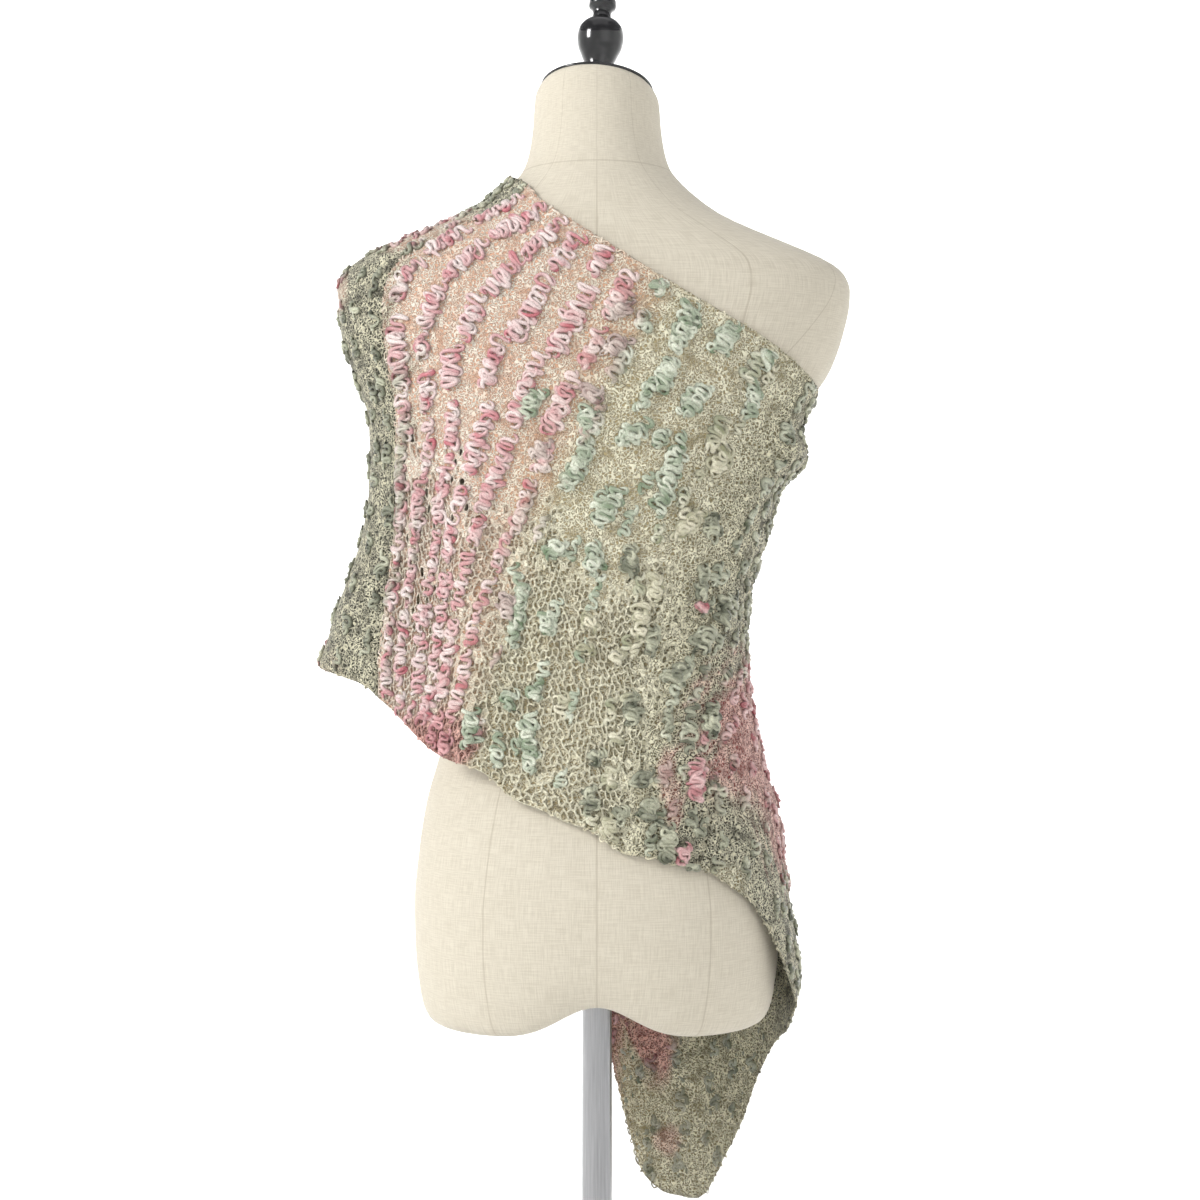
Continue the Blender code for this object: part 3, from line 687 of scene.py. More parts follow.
Fold = namedtuple("Fold", "angle z end_angle end_z width rise")
FOLDS = [
    Fold(-92, 0.769, -74, 0.773, 0.016, 0.0150),
    Fold(-70, 0.752, -42, 0.690, 0.014, 0.0035),
    Fold(-100, 0.735, -118, 0.700, 0.016, 0.0040),
    Fold(-60, 0.640, -38, 0.600, 0.016, 0.0030),
    Fold(84, 0.860, 80, 0.640, 0.018, 0.0030),
    Fold(58, 0.780, 62, 0.580, 0.016, -0.0050),
    Fold(50, 0.720, 50, 0.550, 0.016, 0.0040),
    Fold(38, 0.700, 36, 0.530, 0.018, -0.0035),
    Fold(100, 0.840, 104, 0.640, 0.018, -0.0060),
    Fold(115, 0.830, 122, 0.610, 0.018, 0.0050),
    Fold(132, 0.820, 140, 0.540, 0.020, -0.0060),
    Fold(150, 0.720, 158, 0.450, 0.020, 0.0060),
    Fold(172, 0.740, -178, 0.350, 0.022, -0.0070),
    Fold(-164, 0.700, -158, 0.200, 0.020, 0.0070),
    Fold(-148, 0.640, -146, 0.250, 0.020, -0.0060),
    Fold(-134, 0.640, -134, 0.220, 0.018, 0.0060),
    Fold(-112, 0.560, -118, 0.300, 0.020, -0.0040),
    Fold(-92, 0.480, -98, 0.330, 0.018, 0.0040),
]
FOLD_RADIUS = 0.15
HEM_RIPPLE = 0.0025


def round_curve(edges):
    """A smooth curve over the angle that closes after a full turn."""
    knots = [edge.angle + turn for turn in (-360, 0, 360) for edge in edges]
    curve = smooth_curve(knots, [edge.z for edge in edges] * 3)
    return lambda angle: curve(np.degrees(wrap(angle)))


NECK_Z = round_curve(NECKLINE)
HEM_Z = round_curve(HEM)


def fold_rise(angle, z):
    """How far the folds lift the cloth, or let it fall in."""
    total = np.zeros(np.shape(angle))
    for fold in FOLDS:
        x = wrap(angle - radians(fold.angle)) * FOLD_RADIUS
        y = z - fold.z
        along_x = wrap(radians(fold.end_angle - fold.angle)) * FOLD_RADIUS
        along_y = fold.end_z - fold.z
        share = np.clip((x * along_x + y * along_y) / (along_x ** 2 + along_y ** 2), 0, 1)
        off = np.hypot(x - share * along_x, y - share * along_y)
        total = total + fold.rise * np.exp(-(off / fold.width) ** 2)
    return total


def cloth_radius(angle, z):
    """Radius of the surface the cloth hangs on: the torso where it rests, free folds where it hangs."""
    rest = form_radius(angle, z)
    hang = oval(angle, *(DRAPE[name](z) for name in ("left", "right", "back", "front")), DRAPE_POWER)
    joined = (rest + hang + np.sqrt((rest - hang) ** 2 + SOFTNESS ** 2)) / 2
    return np.maximum(joined + fold_rise(angle, z), rest)


def cloth_point(angle, z, lift):
    """Points a distance out from the hanging surface, square to it."""
    small = 0.0005
    radius = cloth_radius(angle, z)
    turn = (cloth_radius(angle + small, z) - cloth_radius(angle - small, z)) / (2 * small) / radius
    climb = (cloth_radius(angle, z + small) - cloth_radius(angle, z - small)) / (2 * small)
    out = np.stack([np.sin(angle), np.cos(angle), np.zeros_like(angle)], axis=-1)
    round_it = np.stack([np.cos(angle), -np.sin(angle), np.zeros_like(angle)], axis=-1)
    normal = out - turn[..., None] * round_it
    normal[..., 2] = -climb
    normal /= np.linalg.norm(normal, axis=-1, keepdims=True)
    point = out * radius[..., None]
    point[..., 2] = z
    return point + normal * np.asarray(lift)[..., None]


def hem_height(angle):
    """Height of the hem, with the small ripple of a knitted edge."""
    return HEM_Z(angle) + HEM_RIPPLE * (np.sin(9 * angle + 0.4) + 0.6 * np.sin(17 * angle + 1.1))


# %% [markdown]
# ## A chart of each panel
#
# To knit the net flat and then hang it, each panel needs a chart: for a share across from seam to seam and a share
# down from neckline to hem, the direction and the height where that stitch hangs. It is worked out once on an even
# grid and read by interpolation afterwards, which is quick enough for a hundred thousand stitches. The shares down
# are measured along the cloth, and the lines of equal share across lean as the courses of the knitting do.

# %% Draw the charts
Course = namedtuple("Course", "share left_seam rose_to_mint mint_to_cream right_seam")
COURSES = [
    Course(0.00, 44, -25, -60, -90),
    Course(0.15, 62, -9, -50, -87),
    Course(0.30, 69, 7, -38, -82),
    Course(0.45, 69, 22, -27, -74),
    Course(0.60, 70, 35, -16, -65),
    Course(0.80, 70, 47, -5, -49),
    Course(1.00, 70, 53, 4, -37),
]
ROSE_SHARE = 0.40
MINT_SHARE = 0.69
EVEN_WIDTH = 0.17
EVEN_DEPTH = 0.10
SEAM_INSET = 0.0002
CHART_SIZE = 96


def height_along(angle, share, samples=120):
    """Height of the cloth a share of the way from neckline to hem, measured along the cloth."""
    steps = np.linspace(0, 1, samples)
    top = NECK_Z(angle)
    heights = top[:, None] + (hem_height(angle) - top)[:, None] * steps
    radius = cloth_radius(np.repeat(angle[:, None], samples, axis=1), heights)
    pieces = np.hypot(np.diff(radius, axis=1), np.diff(heights, axis=1))
    walked = np.concatenate([np.zeros((len(angle), 1)), np.cumsum(pieces, axis=1)], axis=1)
    walked /= walked[:, -1:]
    return np.array([np.interp(share[i], walked[i], heights[i]) for i in range(len(angle))])


def evened(angle):
    """Stretch angles so that equal steps are nearly equal lengths of cloth."""
    return angle + wrap(np.arctan2(np.sin(angle) / EVEN_WIDTH, np.cos(angle) / EVEN_DEPTH) - angle)


def unevened(angle):
    """Undo evened."""
    return angle + wrap(np.arctan2(EVEN_WIDTH * np.sin(angle), EVEN_DEPTH * np.cos(angle)) - angle)


def course_angle(name, share):
    """Angle of a named line of the course table at a share of the way down."""
    curve = smooth_curve([row.share for row in COURSES], [getattr(row, name) for row in COURSES])
    return np.radians(curve(share))


def chart(panel):
    """Angles and heights of one panel on an even grid of shares."""
    shares = np.linspace(0, 1, CHART_SIZE + 1)
    left = course_angle("left_seam", shares)
    right = course_angle("right_seam", shares)
    inset = SEAM_INSET / EVEN_WIDTH
    angles = np.zeros((CHART_SIZE + 1, CHART_SIZE + 1))
    for i, share in enumerate(shares):
        knots = [0.0, 1.0]
        turns = [left[i] + inset, right[i] + 2 * pi - inset]
        if panel == "back":
            knots = [0.0, ROSE_SHARE, MINT_SHARE, 1.0]
            middles = [course_angle("rose_to_mint", share), course_angle("mint_to_cream", share)]
            turns = [left[i] - inset, *middles, right[i] + inset]
        angles[i] = unevened(smooth_curve(knots, evened(np.array(turns, float)))(shares))
    heights = height_along(angles.ravel(), np.repeat(shares, CHART_SIZE + 1)).reshape(angles.shape)
    return angles, heights


CHARTS = {panel: chart(panel) for panel in ("back", "front")}


def read_chart(table, across, down):
    """Read a chart between its grid points; past an edge it carries on straight."""
    x = np.asarray(across) * CHART_SIZE
    y = np.asarray(down) * CHART_SIZE
    i = np.clip(x.astype(int), 0, CHART_SIZE - 1)
    j = np.clip(y.astype(int), 0, CHART_SIZE - 1)
    parts = x.shape + (1,) * (table.ndim - 2)
    s = (x - i).reshape(parts)
    t = (y - j).reshape(parts)
    upper = table[j, i] * (1 - s) + table[j, i + 1] * s
    lower = table[j + 1, i] * (1 - s) + table[j + 1, i + 1] * s
    return upper * (1 - t) + lower * t


def hang(panel, across, down, lift=0.0):
    """Points of a panel at shares across and down, a distance out from the hanging surface."""
    angles, heights = CHARTS[panel]
    return cloth_point(read_chart(angles, across, down), read_chart(heights, across, down), np.asarray(lift, float))


def chart_points(panel):
    """Points of the hung panel on the even grid of its chart."""
    shares = np.linspace(0, 1, CHART_SIZE + 1)
    return hang(panel, *np.meshgrid(shares, shares))


def panel_area(panel):
    """Area of the hung panel in square metres."""
    points = chart_points(panel)
    first = points[1:, 1:] - points[:-1, :-1]
    second = points[1:, :-1] - points[:-1, 1:]
    return float(np.linalg.norm(np.cross(first, second), axis=-1).sum() / 2)


def slope_tables(panel):
    """How the points of the hung panel move for a whole share across and for a whole share down."""
    shares = np.linspace(0, 1, CHART_SIZE + 1)
    points = chart_points(panel)
    return np.gradient(points, shares, axis=1), np.gradient(points, shares, axis=0)


SLOPES = {panel: slope_tables(panel) for panel in CHARTS}


def slopes(panel, across, down):
    """The two moves at places of the panel."""
    right, below = SLOPES[panel]
    return read_chart(right, across, down), read_chart(below, across, down)


for panel in CHARTS:
    right, below = slopes(panel, 0.5, 0.5)
    print(panel, "panel:", round(panel_area(panel), 4), "square metres; at its middle",
          round(float(np.linalg.norm(right)), 3), "m across and", round(float(np.linalg.norm(below)), 3), "m down")

# %% [markdown]
# ## The dyes, and the painted shade of the hollows
#
# The yarn is dyed in long runs, so its colour depends on how far round the knitting has gone. Each run is a set of
# four colours: the curl of the thin yarn, the hollow behind it, which is painted shade over the yarn deeper down, and
# the light and the deep part of the thick yarn. A short list of stops says which run is where across a panel, and
# patches are places where another run shows. A slow sum of waves keeps the bands from being straight. The colours
# are stored on the points of each mesh, because they follow the cloth and not the space round it.

# %% Mix the dyes and the painted shade of the hollows
Dyes = namedtuple("Dyes", "thin hollow thick deep")
# The second colour of each set is painted shade: the hollow behind the curls, as the yarn deeper down in shade.
ROSE = Dyes(dye(255, 244, 226), dye(228, 180, 150), dye(255, 240, 236), dye(216, 126, 136))
BLUSH = Dyes(dye(255, 242, 218), dye(214, 170, 136), dye(255, 234, 228), dye(212, 128, 132))
GREY_ROSE = Dyes(dye(254, 238, 212), dye(176, 146, 116), dye(244, 230, 220), dye(164, 134, 128))
MINT = Dyes(dye(255, 250, 222), dye(178, 162, 122), dye(240, 246, 226), dye(124, 146, 112))
CREAM = Dyes(dye(255, 250, 222), dye(160, 148, 110), dye(246, 242, 216), dye(162, 162, 126))
SAGE = Dyes(dye(246, 240, 208), dye(114, 108, 78), dye(226, 230, 206), dye(90, 100, 74))
OLIVE = Dyes(dye(232, 226, 196), dye(66, 64, 44), dye(216, 218, 192), dye(62, 70, 48))
MOSS = Dyes(dye(212, 206, 176), dye(46, 44, 30), dye(190, 194, 168), dye(52, 58, 40))
PINK = Dyes(dye(255, 208, 196), dye(150, 84, 76), dye(250, 212, 210), dye(190, 102, 110))
DUSKY = Dyes(dye(242, 184, 172), dye(126, 70, 64), dye(238, 178, 180), dye(156, 80, 86))

Stop = namedtuple("Stop", "across dyes")
STOPS = {
    "back": [Stop(0.00, ROSE), Stop(0.24, ROSE), Stop(0.38, BLUSH), Stop(0.46, MINT), Stop(0.62, MINT),
             Stop(0.72, CREAM), Stop(0.83, SAGE), Stop(0.94, OLIVE)],
    "front": [Stop(0.00, OLIVE), Stop(0.12, OLIVE), Stop(0.19, SAGE), Stop(0.25, MINT), Stop(0.31, BLUSH),
              Stop(0.37, ROSE), Stop(0.42, BLUSH), Stop(0.47, MINT), Stop(0.51, SAGE), Stop(0.60, SAGE),
              Stop(0.72, OLIVE), Stop(1.00, OLIVE)],
}

Patch = namedtuple("Patch", "angle z spread height dyes strength")
PATCHES = [
    Patch(96, 0.780, 28, 0.230, MOSS, 0.85),
    Patch(-80, 0.530, 34, 0.068, PINK, 0.95),
    Patch(-50, 0.452, 26, 0.040, OLIVE, 0.90),
    Patch(-90, 0.462, 20, 0.046, PINK, 0.85),
    Patch(-150, 0.155, 34, 0.070, CREAM, 0.60),
    Patch(-46, 0.428, 9, 0.014, CREAM, 0.85),
    Patch(-156, 0.270, 10, 0.050, DUSKY, 0.95),
    Patch(-176, 0.270, 9, 0.060, DUSKY, 0.90),
    Patch(-150, 0.170, 5, 0.012, PINK, 0.55),
    Patch(74, 0.952, 12, 0.016, ROSE, 0.80),
    Patch(88, 0.905, 8, 0.014, ROSE, 0.60),
    Patch(96, 0.590, 12, 0.030, DUSKY, 0.60),
    Patch(57, 0.540, 12, 0.022, DUSKY, 0.90),
    Patch(-30, 0.505, 4, 0.030, PINK, 0.55),
]
PATCH_SHARPNESS = 11


def drift(across, down, seed, pace=1.0):
    """A slow wave from -1 to 1 that wanders over a panel."""
    rng = random.Random(seed)
    total = 0.0
    for size in (1.0, 0.6, 0.4):
        turn = rng.uniform(0, 2 * pi)
        wave = pace / size
        along = rng.uniform(2, 4) * wave
        side = rng.uniform(3, 6) * wave
        total = total + size * np.sin(2 * pi * (across * side * 0.5 + down * along * 0.5) + turn + 1.7 * np.sin(
            2 * pi * down * wave * 0.6 + rng.uniform(0, 6)))
    return total / 2.0


def yarn_colour(panel, across, down, field, seed=0):
    """Linear colours of one of the four fields at shares across and down a panel; one of them is painted shade."""
    across = np.asarray(across, float)
    down = np.asarray(down, float)
    place = across + 0.022 * drift(across, down, 11 + seed) + 0.014 * drift(across, down, 12 + seed, 4.0)
    knots = [stop.across for stop in STOPS[panel]]
    values = np.array([getattr(stop.dyes, field) for stop in STOPS[panel]])
    colour = np.stack([np.interp(place, knots, values[:, part]) for part in range(3)], axis=-1)
    angles, heights = CHARTS[panel]
    angle = read_chart(angles, across, down)
    z = read_chart(heights, across, down)
    wobble = 0.28 * drift(across, down, 31, 5.0) + 0.20 * drift(across, down, 32, 17.0)
    for patch in PATCHES:
        turn = np.degrees(wrap(angle - radians(patch.angle))) / patch.spread
        rise = (z - patch.z) / patch.height
        outside = np.clip(PATCH_SHARPNESS * (np.hypot(turn, rise) - 1 + wobble), -30, 30)
        share = patch.strength / (1 + np.exp(outside))
        colour = colour + (getattr(patch.dyes, field) - colour) * share[..., None]
    return colour


def store_colours(mesh, name, colour):
    """Keep a linear colour for each point under a name that the finishes read."""
    layer = mesh.color_attributes.new(name=name, type="FLOAT_COLOR", domain="POINT")
    layer.data.foreach_set("color", np.column_stack([colour, np.ones(len(colour))]).astype(np.float32).ravel())


# %% [markdown]
# ## Knitting the net
#
# A knitted net is a field of six-sided eyes, each set half an eye lower than the ones beside it. A plain grid turns
# into one by dissolving every other level edge, brick fashion, and leaning its points towards the edges that stay.
# Where the knitting is loose, some eyes are joined, twice over. There are three kinds of eye. An open one is inset
# and its middle deleted, which leaves strands of yarn. A veiled one is inset and its middle pushed back, as a strand
# that stands over finer curls. A closed one is poked, so that it has a small hollow. All this is done flat, in
# metres, and extruded to the yarn's thickness. Only then is the net hung: a point's place across and down gives its
# stitch on the chart, and its thickness gives the lift.

# %% Knit flat and hang
Net = namedtuple("Net", "panel width length columns rows")
BACK_NET = Net("back", 0.42, 0.44, 88, 124)
FRONT_NET = Net("front", 0.52, 0.60, 96, 160)
LEAN = 0.19
JITTER = 0.15
LEVEL_JITTER = 0.00022
JOINED_VEILED = 0.20
JOINED_OPEN = 0.30
STRAND = 0.0012
STRAND_SHARES = (0.40, 0.50, 0.62)
NET_LIFT = 0.0021
NET_THICKNESS = 0.0011
HOLLOW = 0.0006
VEIL_DEPTH = 0.0016
STRAND_RISE = 0.0007
STRAND_JITTER = 0.0001
VEIL_WALL = 0.0003


def eye_shares(panel, across, down):
    """Shares of the eyes at a place that are open and that are veiled."""
    wander = 0.07 * drift(across, down, 41, 2.0)
    loose = rise_over(down + wander, 0.48, 0.66)
    held = 1 - rise_over(down, 0.82, 0.92)
    if panel == "front":
        middle = rise_over(across, 0.20, 0.27) * (1 - rise_over(across, 0.36, 0.43))
        return 0.0, 0.80 * loose * middle
    rose = 1 - rise_over(across, 0.33, 0.44)
    mint = rise_over(across, 0.36, 0.46) * (1 - rise_over(across, 0.70, 0.84))
    gaping = held * (1 - rise_over(across, 0.24, 0.32))
    return 0.75 * loose * gaping, loose * ((0.95 - 0.75 * gaping) * rose + 0.98 * mint)


def join_eyes(bm, net, rng):
    """Join some eyes, two and two, where the net is loose."""
    used = set()
    shared = []
    for side in bm.edges:
        faces = side.link_faces
        if len(faces) == 2 and not used.intersection(faces):
            middle = (side.verts[0].co + side.verts[1].co) / 2
            open_share, veiled_share = eye_shares(net.panel, middle.x / net.width, -middle.y / net.length)
            if rng.random() < JOINED_VEILED * veiled_share + JOINED_OPEN * open_share:
                used.update(faces)
                shared.append(side)
    bmesh.ops.dissolve_edges(bm, edges=shared)


def knit_net(name, net, finish, rng):
    bm = bmesh.new()
    bmesh.ops.create_grid(bm, x_segments=net.columns, y_segments=net.rows, size=0.5)
    spare = []
    for side in bm.edges:
        start, end = side.verts
        row = round((0.5 - start.co.y) * net.rows)
        column = round((min(start.co.x, end.co.x) + 0.5) * net.columns)
        level = abs(start.co.y - end.co.y) < 0.2 / net.rows
        if level and 0 < row < net.rows and (row + column) % 2:
            spare.append(side)
    bmesh.ops.dissolve_edges(bm, edges=spare)
    for vert in bm.verts:
        column = round((vert.co.x + 0.5) * net.columns)
        row = round((0.5 - vert.co.y) * net.rows)
        inside = 0 < column < net.columns
        lean = (LEAN if (row + column) % 2 == 0 else -LEAN) * inside
        across = (column + lean + rng.gauss(0, JITTER) * inside) / net.columns
        down = (row + rng.gauss(0, 1.5 * JITTER) * (0 < row < net.rows)) / net.rows
        vert.co = (across * net.width, -down * net.length, rng.gauss(0, LEVEL_JITTER))
    for _ in range(2):
        join_eyes(bm, net, rng)
    eyes = {"open": [], "veiled": [], "closed": []}
    for face in bm.faces:
        middle = face.calc_center_median()
        open_share, veiled_share = eye_shares(net.panel, middle.x / net.width, -middle.y / net.length)
        pick = rng.random() if len(face.verts) >= 6 else 1.0
        kind = "veiled" if pick < open_share + veiled_share else "closed"
        if pick < open_share and len(face.verts) < 9:
            kind = "open"
        eyes[kind].append(face)
    loose = eyes["open"] + eyes["veiled"]
    raised = {vert for face in loose for vert in face.verts}
    for i, share in enumerate(STRAND_SHARES):
        bmesh.ops.inset_individual(bm, faces=loose[i::len(STRAND_SHARES)], thickness=share * STRAND,
                                   use_even_offset=True)
    raised.update(vert for face in loose for vert in face.verts)
    for vert in sorted(raised, key=lambda vert: (vert.co.x, vert.co.y)):
        vert.co.z = STRAND_RISE + rng.gauss(0, STRAND_JITTER)
    bmesh.ops.inset_individual(bm, faces=eyes["veiled"], thickness=VEIL_WALL, depth=-VEIL_DEPTH, use_even_offset=True)
    bmesh.ops.delete(bm, geom=eyes["open"], context="FACES")
    poked = bmesh.ops.poke(bm, faces=eyes["closed"])
    for vert in poked["verts"]:
        vert.co.z -= HOLLOW * rng.uniform(0.4, 1.2)
    pulled = bmesh.ops.extrude_face_region(bm, geom=list(bm.faces), use_keep_orig=True)["geom"]
    under = [item for item in pulled if isinstance(item, bmesh.types.BMVert)]
    bmesh.ops.translate(bm, vec=(0, 0, -NET_THICKNESS), verts=under)
    bmesh.ops.recalc_face_normals(bm, faces=bm.faces)
    print(name, "has", ", ".join(f"{len(faces)} {kind}" for kind, faces in eyes.items()), "eyes")
    piece = add_piece(name, bm, finish)
    hang_net(piece.data, net)
    return piece


def hang_net(mesh, net):
    """Bend a flat net on to its panel's chart and colour it, with painted shade where it is sunk."""
    flat = np.zeros(len(mesh.vertices) * 3)
    mesh.vertices.foreach_get("co", flat)
    flat = flat.reshape(-1, 3)
    across = flat[:, 0] / net.width
    down = -flat[:, 1] / net.length
    points = hang(net.panel, across, down, NET_LIFT + NET_THICKNESS + flat[:, 2])
    raised = rise_over(flat[:, 2:3], 0.6 * STRAND_RISE, 0.9 * STRAND_RISE)
    sunk = rise_over(-flat[:, 2:3], 0.4 * HOLLOW, 1.5 * HOLLOW)
    thin = yarn_colour(net.panel, across, down, "thin")
    hollow = yarn_colour(net.panel, across, down, "hollow")
    # Painted shade: sunk points take part of the hollow's shade colour, and the hollow colour is darkened where sunk.
    store_colours(mesh, "yarn_and_shade", thin + 0.30 * (hollow - thin) * sunk)
    store_colours(mesh, "hollow", (hollow + 0.70 * (thin - hollow) * raised) * (1 - 0.15 * sunk))
    mesh.vertices.foreach_set("co", points.ravel())
    if net.panel == "front":
        mesh.flip_normals()
    mesh.update()


# %% [markdown]
# The thin yarn is finer than the eyes of the net: it curls within them. That curl is drawn in the finish by the level
# lines of a noise, which wind and close on themselves as the curls do, with the walls of a cell pattern across them.
# The lines are the strands, the rest is the shaded hollow, and the same pattern drives the bump. It is read in object
# coordinates, so the curls are the same size wherever the cloth is pulled to.

# %% Finish the thin yarn
CURLS_PER_METRE = 240
CURL_LEVELS = 5.0
CELLS_PER_METRE = 270
MOTTLES_PER_METRE = 75


def thin_yarn():
    finish = Finish("boucle_net", 0.80, sheen_weight=0.25, sheen_roughness=0.5)
    place = finish.add("ShaderNodeTexCoord").outputs["Object"]
    curl = finish.noise(place, Scale=CURLS_PER_METRE, Detail=1.0, Roughness=0.4)
    levels = maths(finish, "PINGPONG", maths(finish, "MULTIPLY", curl, CURL_LEVELS), 0.5)
    lines = ramp(finish, levels, 0.20, 0.36)
    cells = finish.add("ShaderNodeTexVoronoi", feature="DISTANCE_TO_EDGE", Scale=CELLS_PER_METRE)
    finish.join(place, cells.inputs["Vector"])
    walls = ramp(finish, cells.outputs["Distance"], 0.11, 0.02)
    strands = maths(finish, "MAXIMUM", lines, walls)
    mottle = finish.noise(place, Scale=MOTTLES_PER_METRE, Detail=3.0, Roughness=0.65)
    shown = maths(finish, "MULTIPLY", strands, ramp(finish, mottle, 0.22, 0.56))
    yarn_and_shade = finish.add("ShaderNodeVertexColor", layer_name="yarn_and_shade").outputs["Color"]
    hollow = finish.add("ShaderNodeVertexColor", layer_name="hollow").outputs["Color"]
    # Between the curl lines the painted shade of the hollow shows.
    finish.join(mixed(finish, shown, hollow, yarn_and_shade), finish.shader.inputs["Base Color"])
    finish.emboss(strands, 1.0, 0.0016)
    return finish.material


net_finish = thin_yarn()
back_net = knit_net("back_net", BACK_NET, net_finish, random.Random(5))
front_net = knit_net("front_net", FRONT_NET, net_finish, random.Random(6))
for piece, node, slot in ((back_net, "back_panel", "back_knit"), (front_net, "front_panel", "front_knit")):
    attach(piece, "root")
    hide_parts(node)
    print(piece.name, sum(len(face.vertices) - 2 for face in piece.data.polygons), "triangles")

# %% [markdown]
# ## The slubs
#
# The thick yarn is laid back and forth across a course, so a cluster looks like a stack of short bars with round
# turns at both sides. Its line is a sine wave whose bars are pushed level by a second wave at twice the pace. Each
# bar gets its own width, pitch, tilt and middle, because hand-knitted loops are never even, and a slow tangle of
# waves is added to all of it. The lines become tubes by a curve's bevel, and the tubes are turned into one mesh for
# each panel.

# %% The line of a thick yarn
THICK_RADIUS = 0.00178
BAR_PITCH = 0.0041
POINTS_A_BAR = 6
BAR_PUSH = 0.00095
THICK_LIFT = 0.0040
THICK_BOB = 0.0006
SECOND_LIFT = 0.0016
BAR_WIDTHS = (0.50, 1.15)
BAR_PITCHES = (0.75, 1.25)
BAR_WANDER = 0.20
BAR_TILT = 0.20
SIDE_TANGLE = 0.0012
PUSH_TANGLE = 0.0013
LIFT_TANGLE = 0.0006
PAST_EDGE = 0.006
UNDERSIDE_SHADE = 0.48

Line = namedtuple("Line", "points radii colours")


def shifted(panel, across, down, side, along):
    """Shares of places that are moved over the cloth, in metres square to the course and along it."""
    right, below = slopes(panel, np.clip(across, 0, 0.99), np.clip(down, 0, 0.99))
    course = below / np.linalg.norm(below, axis=1, keepdims=True)
    square = right - (right * course).sum(1, keepdims=True) * course
    square /= np.linalg.norm(square, axis=1, keepdims=True)
    move = side[:, None] * square + along[:, None] * course
    rr, rb, bb = (right * right).sum(1), (right * below).sum(1), (below * below).sum(1)
    rm, bm = (right * move).sum(1), (below * move).sum(1)
    scale = rr * bb - rb * rb
    return across + (rm * bb - bm * rb) / scale, down + (bm * rr - rm * rb) / scale


def walked_along(points):
    """Distance walked along a line up to each of its points."""
    return np.concatenate([[0], np.cumsum(np.linalg.norm(np.diff(points, axis=0), axis=1))])


def tangle(count, rng, shortest):
    """A smooth wander from about -1 to 1 for each point of a line."""
    steps = np.arange(count)
    total = np.zeros(count)
    for size, stretch in ((1.0, 3.1), (0.7, 1.7), (0.5, 1.0)):
        length = shortest * stretch * rng.uniform(0.85, 1.2)
        total += size * np.sin(2 * pi * steps / length + rng.uniform(0, 2 * pi))
    return total / 1.6


def laid_yarn(panel, path, half_width, rng, dyes=None, raised=0.0, fields=("thick", "deep")):
    """The line of one thick yarn laid back and forth along a path of (across, down) shares."""
    path = np.array(path, float)
    walked = walked_along(hang(panel, *path.T))
    bars = max(3, round(walked[-1] / BAR_PITCH))
    count = bars * POINTS_A_BAR + 1
    turn = np.linspace(0, pi * bars, count)
    knots = np.arange(bars + 1)

    def for_each_bar(draw):
        values = smooth_curve(knots, [draw() for _ in knots])
        return values(turn / pi)

    narrowing = np.interp(turn / pi, [0, 1.5, bars - 1.5, bars], [0.6, 1, 1, 0.6])
    width = for_each_bar(lambda: rng.uniform(*BAR_WIDTHS)) * narrowing
    middle = for_each_bar(lambda: rng.gauss(0, BAR_WANDER)) * half_width
    tilt = for_each_bar(lambda: rng.gauss(0, BAR_TILT))
    pitch = np.cumsum(for_each_bar(lambda: rng.uniform(*BAR_PITCHES)))
    along = (pitch - pitch[0]) / (pitch[-1] - pitch[0]) * walked[-1]
    side = half_width * width * np.sin(turn) + middle + SIDE_TANGLE * tangle(count, rng, 6)
    push = -BAR_PUSH * rng.uniform(0.8, 1.6) * np.sin(2 * turn) + tilt * side + PUSH_TANGLE * tangle(count, rng, 6)
    across, down = (np.interp(along, walked, path[:, part]) for part in (0, 1))
    across, down = shifted(panel, across, down, side, push)
    lift = THICK_LIFT + raised + THICK_BOB * np.cos(2 * turn) + LIFT_TANGLE * tangle(count, rng, 9)
    ends = np.minimum(1, np.minimum(np.arange(count), np.arange(count)[::-1]) / 4 + 0.35)
    radii = ends * (1 + 0.26 * tangle(count, rng, 8))
    if dyes is None:
        light, deep = (yarn_colour(panel, across, down, field, 3) for field in fields)
    else:
        light, deep = dyes.thick, dyes.deep
    share = np.clip(0.36 + 0.48 * tangle(count, rng, 14) + 0.14 * tangle(count, rng, 5), 0, 1)[:, None]
    low, high = -PAST_EDGE, 1 + PAST_EDGE
    inside = (across > low) & (across < high) & (down > low) & (down < high)
    if inside.sum() < POINTS_A_BAR:
        return None
    points = hang(panel, across, down, lift)
    return Line(points[inside], radii[inside], (light + (deep - light) * share)[inside])


# %% [markdown]
# On the back the clusters are laid where the picture shows them. A table gives each one's dyes, its width and the
# places it passes, all in millimetres as seen from behind: first across, to the left of the pole, and then up from
# the floor. The shares on the chart are looked up in a tree of points. A long run is broken into clusters of a few
# centimetres, and the wide ones get two shorter yarns on top.

